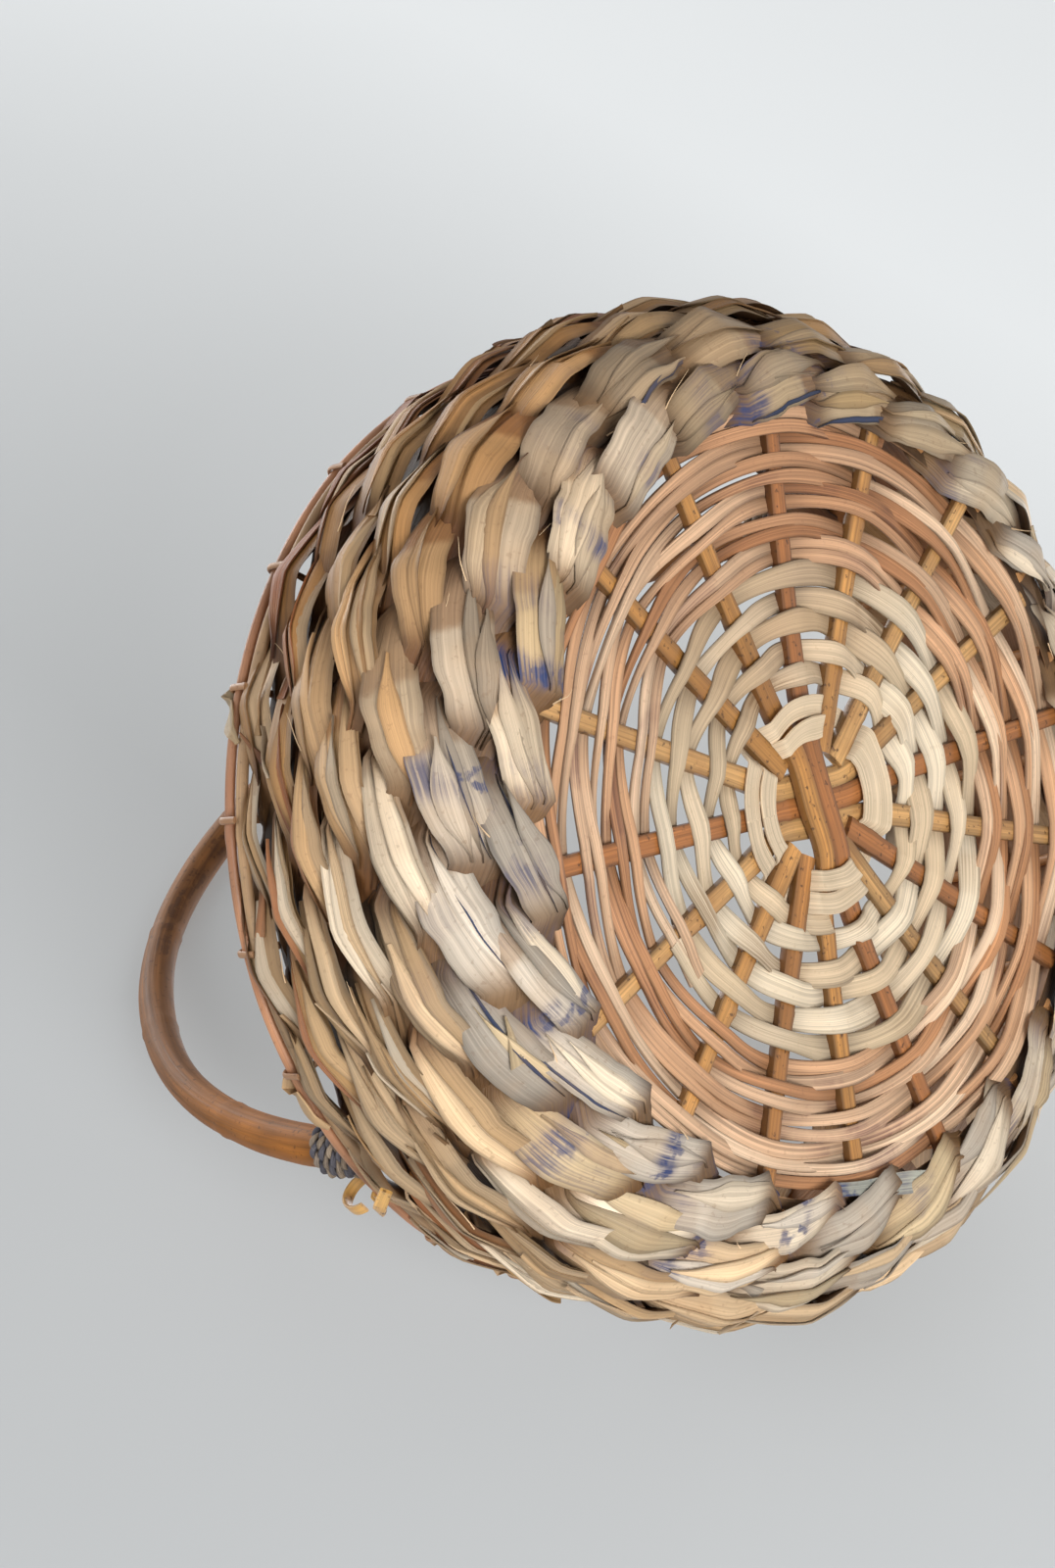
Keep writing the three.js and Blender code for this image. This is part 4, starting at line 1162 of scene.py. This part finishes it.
def handleSkin():
    skin = newSkin()
    stations = []
    for turn, order in ((0, 1), (body["frontStakes"], -1)):
        leg = []
        for lift in np.linspace(body["legTip"], 1, 9):
            r, z = wallPoint(lift)
            angle = float(stakeAngle(float(turn), lift))
            share = (lift - body["legTip"]) / (1 - body["legTip"])
            leg.append((float(r) * math.cos(angle), float(r) * math.sin(angle), float(z),
                        handleLook["tipHalfWidth"] * (1 - share) + handleLook["legHalfWidth"] * share,
                        handleLook["tipHalf"] * (1 - share) + handleLook["legHalf"] * share))
        stations.append(leg[::order])
    bow = []
    for turned in np.linspace(0, np.pi, 53):
        roundness = float(smooth(0.0, 0.11, min(turned, np.pi - turned)))
        bow.append((-body["rimRadius"] * math.cos(turned), 0.0,
                    shoulderZ + (handleTop - shoulderZ) * math.sin(turned),
                    handleLook["legHalfWidth"]
                    + (handleLook["half"] - handleLook["legHalfWidth"]) * roundness,
                    handleLook["legHalf"] + (handleLook["half"] - handleLook["legHalf"]) * roundness))
    line = smoothPath(stations[0] + bow + stations[1], handleLook["steps"])
    path = line[:, :3]
    run = runOf(path)
    inBow = smooth(shoulderZ + 0.004, shoulderZ + 0.03, path[:, 2])
    path = path + np.stack([0.0006 * wander(801, run, 0.05), 0.0009 * wander(802, run, 0.06),
                            0.0005 * wander(803, run, 0.05)], axis=1) * inBow[:, None]
    swell = 1 + (0.03 * wander(804, run, 0.03) - 0.02) * inBow
    for knot in handleLook["knots"]:
        at = knot * run[-1]
        swell = swell + (0.05 * np.exp(-((run - at) / 0.0016) ** 2)
                         - 0.03 * np.exp(-((run - at - 0.003) / 0.0012) ** 2)) * inBow
    around = np.linspace(0, 2 * np.pi, handleLook["sides"], endpoint=False)
    section = ovalSection(line[:, 3] * swell, line[:, 4] * swell, handleLook["sides"])
    lumps = 1 + 0.018 * inBow[:, None] * np.sin(around * 2 + wander(806, run, 0.04)[:, None] * 3)
    rings = sweepRings(path, np.tile([0.0, 1.0, 0.0], (len(path), 1)), section * lumps[..., None])
    share = run / run[-1]
    nearLeft = smooth(0.3, 0.12, share)[:, None]
    worn = np.exp(-((share - handleLook["wornAt"]) / handleLook["wornReach"]) ** 2)[:, None]
    tint = handleLook["brown"] * (1 - nearLeft) + handleLook["gold"] * nearLeft
    tint = tint * (1 - 0.4 * worn) + handleLook["dark"] * 0.4 * worn
    tint = tint * (1 + 0.12 * wander(805, run, 0.012))[:, None]
    patches = np.zeros((len(path), handleLook["sides"]))
    for at, long, turned in handleLook["patches"]:
        reach = ((share - at) / long)[:, None] ** 2
        wide = (np.arccos(np.clip(np.cos(around - turned), -1, 1)) / 0.6)[None, :] ** 2
        patches = np.maximum(patches, smooth(1.3, 0.5, reach + wide))
    patches = np.maximum(0.35 * worn * smooth(-0.2, 0.6, wander(807, run, 0.006))[:, None], patches)
    addRings(skin, rings, run, np.sin(around) * 0.005, tint[:, None, :], mark=8.0, stain=patches)
    return skin


makePiece("handle_bow", handleSkin(), handlePaint, ["handle"])
print("rim and handle done")


# Lashings: two twisted plies wound round each leg
lashingLook = {
    "half": 0.0013, "turns": 4, "climb": 0.0031, "ply": 0.00076, "offset": 0.00064, "twistRun": 0.0054,
    "legRounds": 0.021,  # height in which the leg goes from flat to round
    "legThick": 0.005, "legThicker": 0.0055, "legWide": 0.009, "legWider": 0.0015, "bowHeight": 0.175,
    "gap": 0.0002, "pale": linear(150, 134, 116), "dark": linear(92, 90, 96), "sides": 8, "steps": 560,
}


def lashingSkin(side, seed):
    skin = newSkin()
    turned = np.linspace(-0.5, lashingLook["turns"] * 2 * np.pi + 0.5, lashingLook["steps"])
    z = shoulderZ + lashingLook["half"] + lashingLook["climb"] * turned / (2 * np.pi)
    share = np.clip((z - shoulderZ) / lashingLook["legRounds"], 0, 1)
    clear = lashingLook["half"] + lashingLook["gap"]
    half = (lashingLook["legThick"] + lashingLook["legThicker"] * share) / 2 + clear
    wide = (lashingLook["legWide"] + lashingLook["legWider"] * share) / 2 + clear
    middle = body["rimRadius"] * np.cos(np.arcsin(np.clip((z - shoulderZ) / lashingLook["bowHeight"], 0, 1)))
    path = np.stack([side * (middle - half * np.cos(turned)), wide * np.sin(turned), z], axis=1)
    run = runOf(path)
    upright = np.tile([0.0, 0.0, 1.0], (len(path), 1))
    for number in range(2):
        twist = 2 * np.pi * run / lashingLook["twistRun"] + np.pi * number
        centre = np.stack([np.cos(twist), np.sin(twist)], axis=1) * lashingLook["offset"]
        lane = sweepRings(path, upright, centre[:, None, :])[:, 0, :]
        thick = lashingLook["ply"] * (1 + 0.08 * wander(seed + number, run, 0.004))
        rings = sweepRings(lane, upright, ovalSection(thick, thick, lashingLook["sides"]))
        colour = lashingLook["pale"] if number else lashingLook["dark"]
        tint = colour * (1 + 0.3 * wander(seed + 5 + number, run, 0.006))[:, None]
        across = np.arange(lashingLook["sides"]) * 0.0007
        addRings(skin, rings, run, across, tint[:, None, :], mark=seed + number)
    return skin


for side, order, seed in (("left", -1, 901), ("right", 1, 911)):
    makePiece(f"cord_lashing_{side}", lashingSkin(order, seed), cordPaint, [f"handle_lashing_{side}"])


# Rim ties with an eye at the end
tieLook = {
    "halfWidth": 0.0017, "half": 0.00045, "loop": 0.0054, "gap": 0.00235,
    "angle": math.radians(4.9), "slant": math.radians(6.5), "colour": linear(228, 178, 102),
}


def tieSkin(angle, seed):
    skin = newSkin()
    bend = tieLook["gap"] + tieLook["half"]
    middle = body["hoopRadius"]
    corners = [
        (middle + 0.0086, tieLook["slant"], lowerHoopZ - 0.017),
        (middle + 0.0098, tieLook["slant"] * 0.55, lowerHoopZ - 0.009),
        (middle + bend + 0.0022, tieLook["slant"] * 0.12, lowerHoopZ),
    ]
    for around in np.radians([0, 45]):
        corners.append((middle + bend * math.cos(around), 0.0, upperHoopZ + bend * math.sin(around)))
    for around in np.linspace(0, math.radians(310), 16):
        corners.append((middle - tieLook["loop"] * math.sin(around), 0.0,
                        upperHoopZ + bend + tieLook["loop"] * (1 - math.cos(around))))
    line = smoothPath(corners, 150)
    path = polar(line[:, 0], angle + line[:, 1], line[:, 2])
    run = runOf(path)
    side = np.tile([-math.sin(angle), math.cos(angle), 0.0], (len(path), 1))
    width = tieLook["halfWidth"] * (1 + 0.06 * wander(seed, run, 0.01))
    sections = stripSection(width, tieLook["half"], 0.0)
    tint = tieLook["colour"] * (1 + 0.12 * wander(seed + 1, run, 0.008))[:, None]
    addStrip(skin, path, side, sections, tint, seed)
    return skin


for side, turn in (("left", 0.0), ("right", float(body["frontStakes"]))):
    angle = float(stakeAngle(turn, 1.0)) - tieLook["angle"]
    skin = tieSkin(angle, 950 + len(side))
    makePiece(f"cane_tie_{side}", skin, stickPaint, [f"rim_tie_{side}"])
print("lashings and ties done")


# Camera, from below the base as in the photograph
camera = {
    "place": (-0.3772, -0.3496, -0.4613),
    "up": (0.7059, -0.7064, -0.0516),
    "ahead": (0.4975, 0.4426, 0.7461),
    "lens": 63.65,
}
lensData = bpy.data.cameras.new("camera")
lensData.sensor_fit = "AUTO"
lensData.sensor_width = 36.0
lensData.lens = camera["lens"]
lensData.clip_start = 0.01
eye = bpy.data.objects.new("camera", lensData)
bpy.context.scene.collection.objects.link(eye)
ahead = Vector(camera["ahead"]).normalized()
upward = Vector(camera["up"])
upward = (upward - ahead * upward.dot(ahead)).normalized()
rightward = ahead.cross(upward)
turnTo = Matrix((rightward, upward, -ahead)).transposed().to_4x4()
eye.matrix_world = Matrix.Translation(camera["place"]) @ turnTo
bpy.context.scene.camera = eye


# Floors: the one the basket leans on in the photograph, and one to stand on. Each shows from one side.
floorLook = {
    "normal": Vector((0.151, -0.813, -0.562)).normalized(),
    "size": 8.0,
    "colour": linear(236, 240, 243),
    # Painted light: the leaning floor's colour and glow grow brighter in this direction
    "brighter": (1.35, -0.40, -0.663),
    "paintedLight": (-0.4, 0.35),
    "glow": linear(251, 254, 255),
    "glowFade": (-0.167, 0.333),
    "glowShare": 0.5,
    "below": 0.0002,
}


def floorPaint(name, dimmest, glowRange, fromBelow):
    paint = bpy.data.materials.new(name)
    paint.use_nodes = True
    tree = paint.node_tree
    nodes = tree.nodes
    links = tree.links
    shader = nodes["Principled BSDF"]
    shader.inputs["Roughness"].default_value = 0.9
    shader.inputs["Specular IOR Level"].default_value = 0.1
    place = nodes.new("ShaderNodeTexCoord")
    grit = nodes.new("ShaderNodeTexNoise")
    grit.inputs["Scale"].default_value = 9.0
    links.new(place.outputs["Object"], grit.inputs["Vector"])
    shade = scaled(tree, grit.outputs["Fac"], 0.3, 0.7, 0.985, 1.0)
    spread = nodes.new("ShaderNodeVectorMath")
    spread.operation = "DOT_PRODUCT"
    spread.inputs[1].default_value = floorLook["brighter"]
    links.new(place.outputs["Object"], spread.inputs[0])
    # Painted light: the colour is brighter along one direction, down to dimmest; with dimmest 1 the floor is
    # even
    paintedLight = scaled(tree, spread.outputs["Value"], *floorLook["paintedLight"], dimmest, 1.0)
    tone = mixColour(tree, "MULTIPLY", 1.0, rgba(floorLook["colour"]), shade)
    links.new(mixColour(tree, "MULTIPLY", 1.0, tone, paintedLight), shader.inputs["Base Color"])
    glow = nodes.new("ShaderNodeEmission")
    # Painted light: the glow grows brighter along the same direction where glowRange spans more than one
    # value
    lift = scaled(tree, spread.outputs["Value"], *floorLook["glowFade"], *glowRange)
    links.new(mixColour(tree, "MULTIPLY", 1.0, rgba(floorLook["glow"]), lift), glow.inputs["Color"])
    rays = nodes.new("ShaderNodeLightPath")
    lit = nodes.new("ShaderNodeMixShader")
    links.new(product(tree, shownRays(tree, rays), floorLook["glowShare"]), lit.inputs[0])
    links.new(shader.outputs[0], lit.inputs[1])
    links.new(glow.outputs[0], lit.inputs[2])
    clear = nodes.new("ShaderNodeBsdfTransparent")
    facing = nodes.new("ShaderNodeNewGeometry")
    away = facing.outputs["Backfacing"]
    if fromBelow:
        # A view from below passes the standing floor first; other views miss the part above it
        unpassed = mathNode(tree, "LESS_THAN", rays.outputs["Transparent Depth"], 0.5)
        parts = nodes.new("ShaderNodeSeparateXYZ")
        links.new(place.outputs["Object"], parts.inputs[0])
        high = mathNode(tree, "GREATER_THAN", parts.outputs[2], 0.0)
        unseen = product(tree, product(tree, unpassed, high), rays.outputs["Is Camera Ray"])
        away = mathNode(tree, "MAXIMUM", away, unseen)
    which = nodes.new("ShaderNodeMixShader")
    links.new(away, which.inputs[0])
    links.new(lit.outputs[0], which.inputs[1])
    links.new(clear.outputs[0], which.inputs[2])
    links.new(which.outputs[0], nodes["Material Output"].inputs["Surface"])
    return paint


def makeFloor(name, point, normal, paint):
    across = normal.orthogonal().normalized()
    beside = normal.cross(across)
    half = floorLook["size"] / 2
    corners = []
    for a, b in ((-1, -1), (1, -1), (1, 1), (-1, 1)):
        corners.append(tuple(point + across * (half * a) + beside * (half * b)))
    mesh = bpy.data.meshes.new(name)
    mesh.from_pydata(corners, [], [(0, 1, 2, 3)])
    mesh.materials.append(paint)
    floor = bpy.data.objects.new(name, mesh)
    bpy.context.scene.collection.objects.link(floor)
    floor.visible_shadow = False
    floor.visible_diffuse = False
    floor.visible_glossy = False
    floor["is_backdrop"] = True


leaningPaint = floorPaint("leaningFloor", 0.7, (0.5, 1.0), True)
standingPaint = floorPaint("standingFloor", 1.0, (0.75, 0.75), False)
normal = floorLook["normal"]
lowest = min(
    (np.array([tuple(v.co) for v in piece.data.vertices]) @ np.array(normal)).min()
    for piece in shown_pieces() if piece.type == "MESH" and len(piece.data.vertices)
)
makeFloor("leaning_floor", normal * float(lowest), normal, leaningPaint)
makeFloor("standing_floor", Vector((0, 0, -floorLook["below"])), Vector((0, 0, 1)), standingPaint)


# Light: a soft lamp from the photograph's lower right, wide ones from three sides, and a pale world
lightLook = {
    "key": {"towards": (-0.454, -0.106, -0.885), "far": 1.1, "size": 0.5, "power": 10.5},
    "left": {"towards": (-0.63, -0.78, 0.08), "far": 1.2, "size": 0.9, "power": 4.0},
    "above": {"towards": (0.3, -0.5, 0.85), "far": 1.3, "size": 0.9, "power": 10.0},
    "right": {"towards": (0.78, 0.58, 0.3), "far": 1.2, "size": 0.9, "power": 6.0},
    "world": 0.42,
    "backdrop": linear(226, 227, 229),
    "aim": (0, 0, 0.06),
}
for name in ("key", "left", "above", "right"):
    look = lightLook[name]
    data = bpy.data.lights.new(name, "AREA")
    data.shape = "DISK"
    data.size = look["size"]
    data.energy = look["power"]
    lamp = bpy.data.objects.new(name, data)
    bpy.context.scene.collection.objects.link(lamp)
    towards = Vector(look["towards"]).normalized()
    lamp.location = Vector(lightLook["aim"]) + towards * look["far"]
    lamp.rotation_euler = towards.to_track_quat("Z", "Y").to_euler()
world = bpy.data.worlds.new("pale world")
bpy.context.scene.world = world
world.use_nodes = True
worldNodes = world.node_tree.nodes
worldLinks = world.node_tree.links
sky = worldNodes["Background"]
sky.inputs["Color"].default_value = (1.0, 0.99, 0.97, 1.0)
sky.inputs["Strength"].default_value = lightLook["world"]
plain = worldNodes.new("ShaderNodeBackground")
plain.inputs["Color"].default_value = rgba(lightLook["backdrop"])
plain.inputs["Strength"].default_value = 1.0
rays = worldNodes.new("ShaderNodeLightPath")
pick = worldNodes.new("ShaderNodeMixShader")
worldLinks.new(shownRays(world.node_tree, rays), pick.inputs[0])
worldLinks.new(sky.outputs[0], pick.inputs[1])
worldLinks.new(plain.outputs[0], pick.inputs[2])
worldLinks.new(pick.outputs[0], worldNodes["World Output"].inputs["Surface"])
bpy.context.scene.view_settings.view_transform = "Standard"
print("camera, floors and light done")
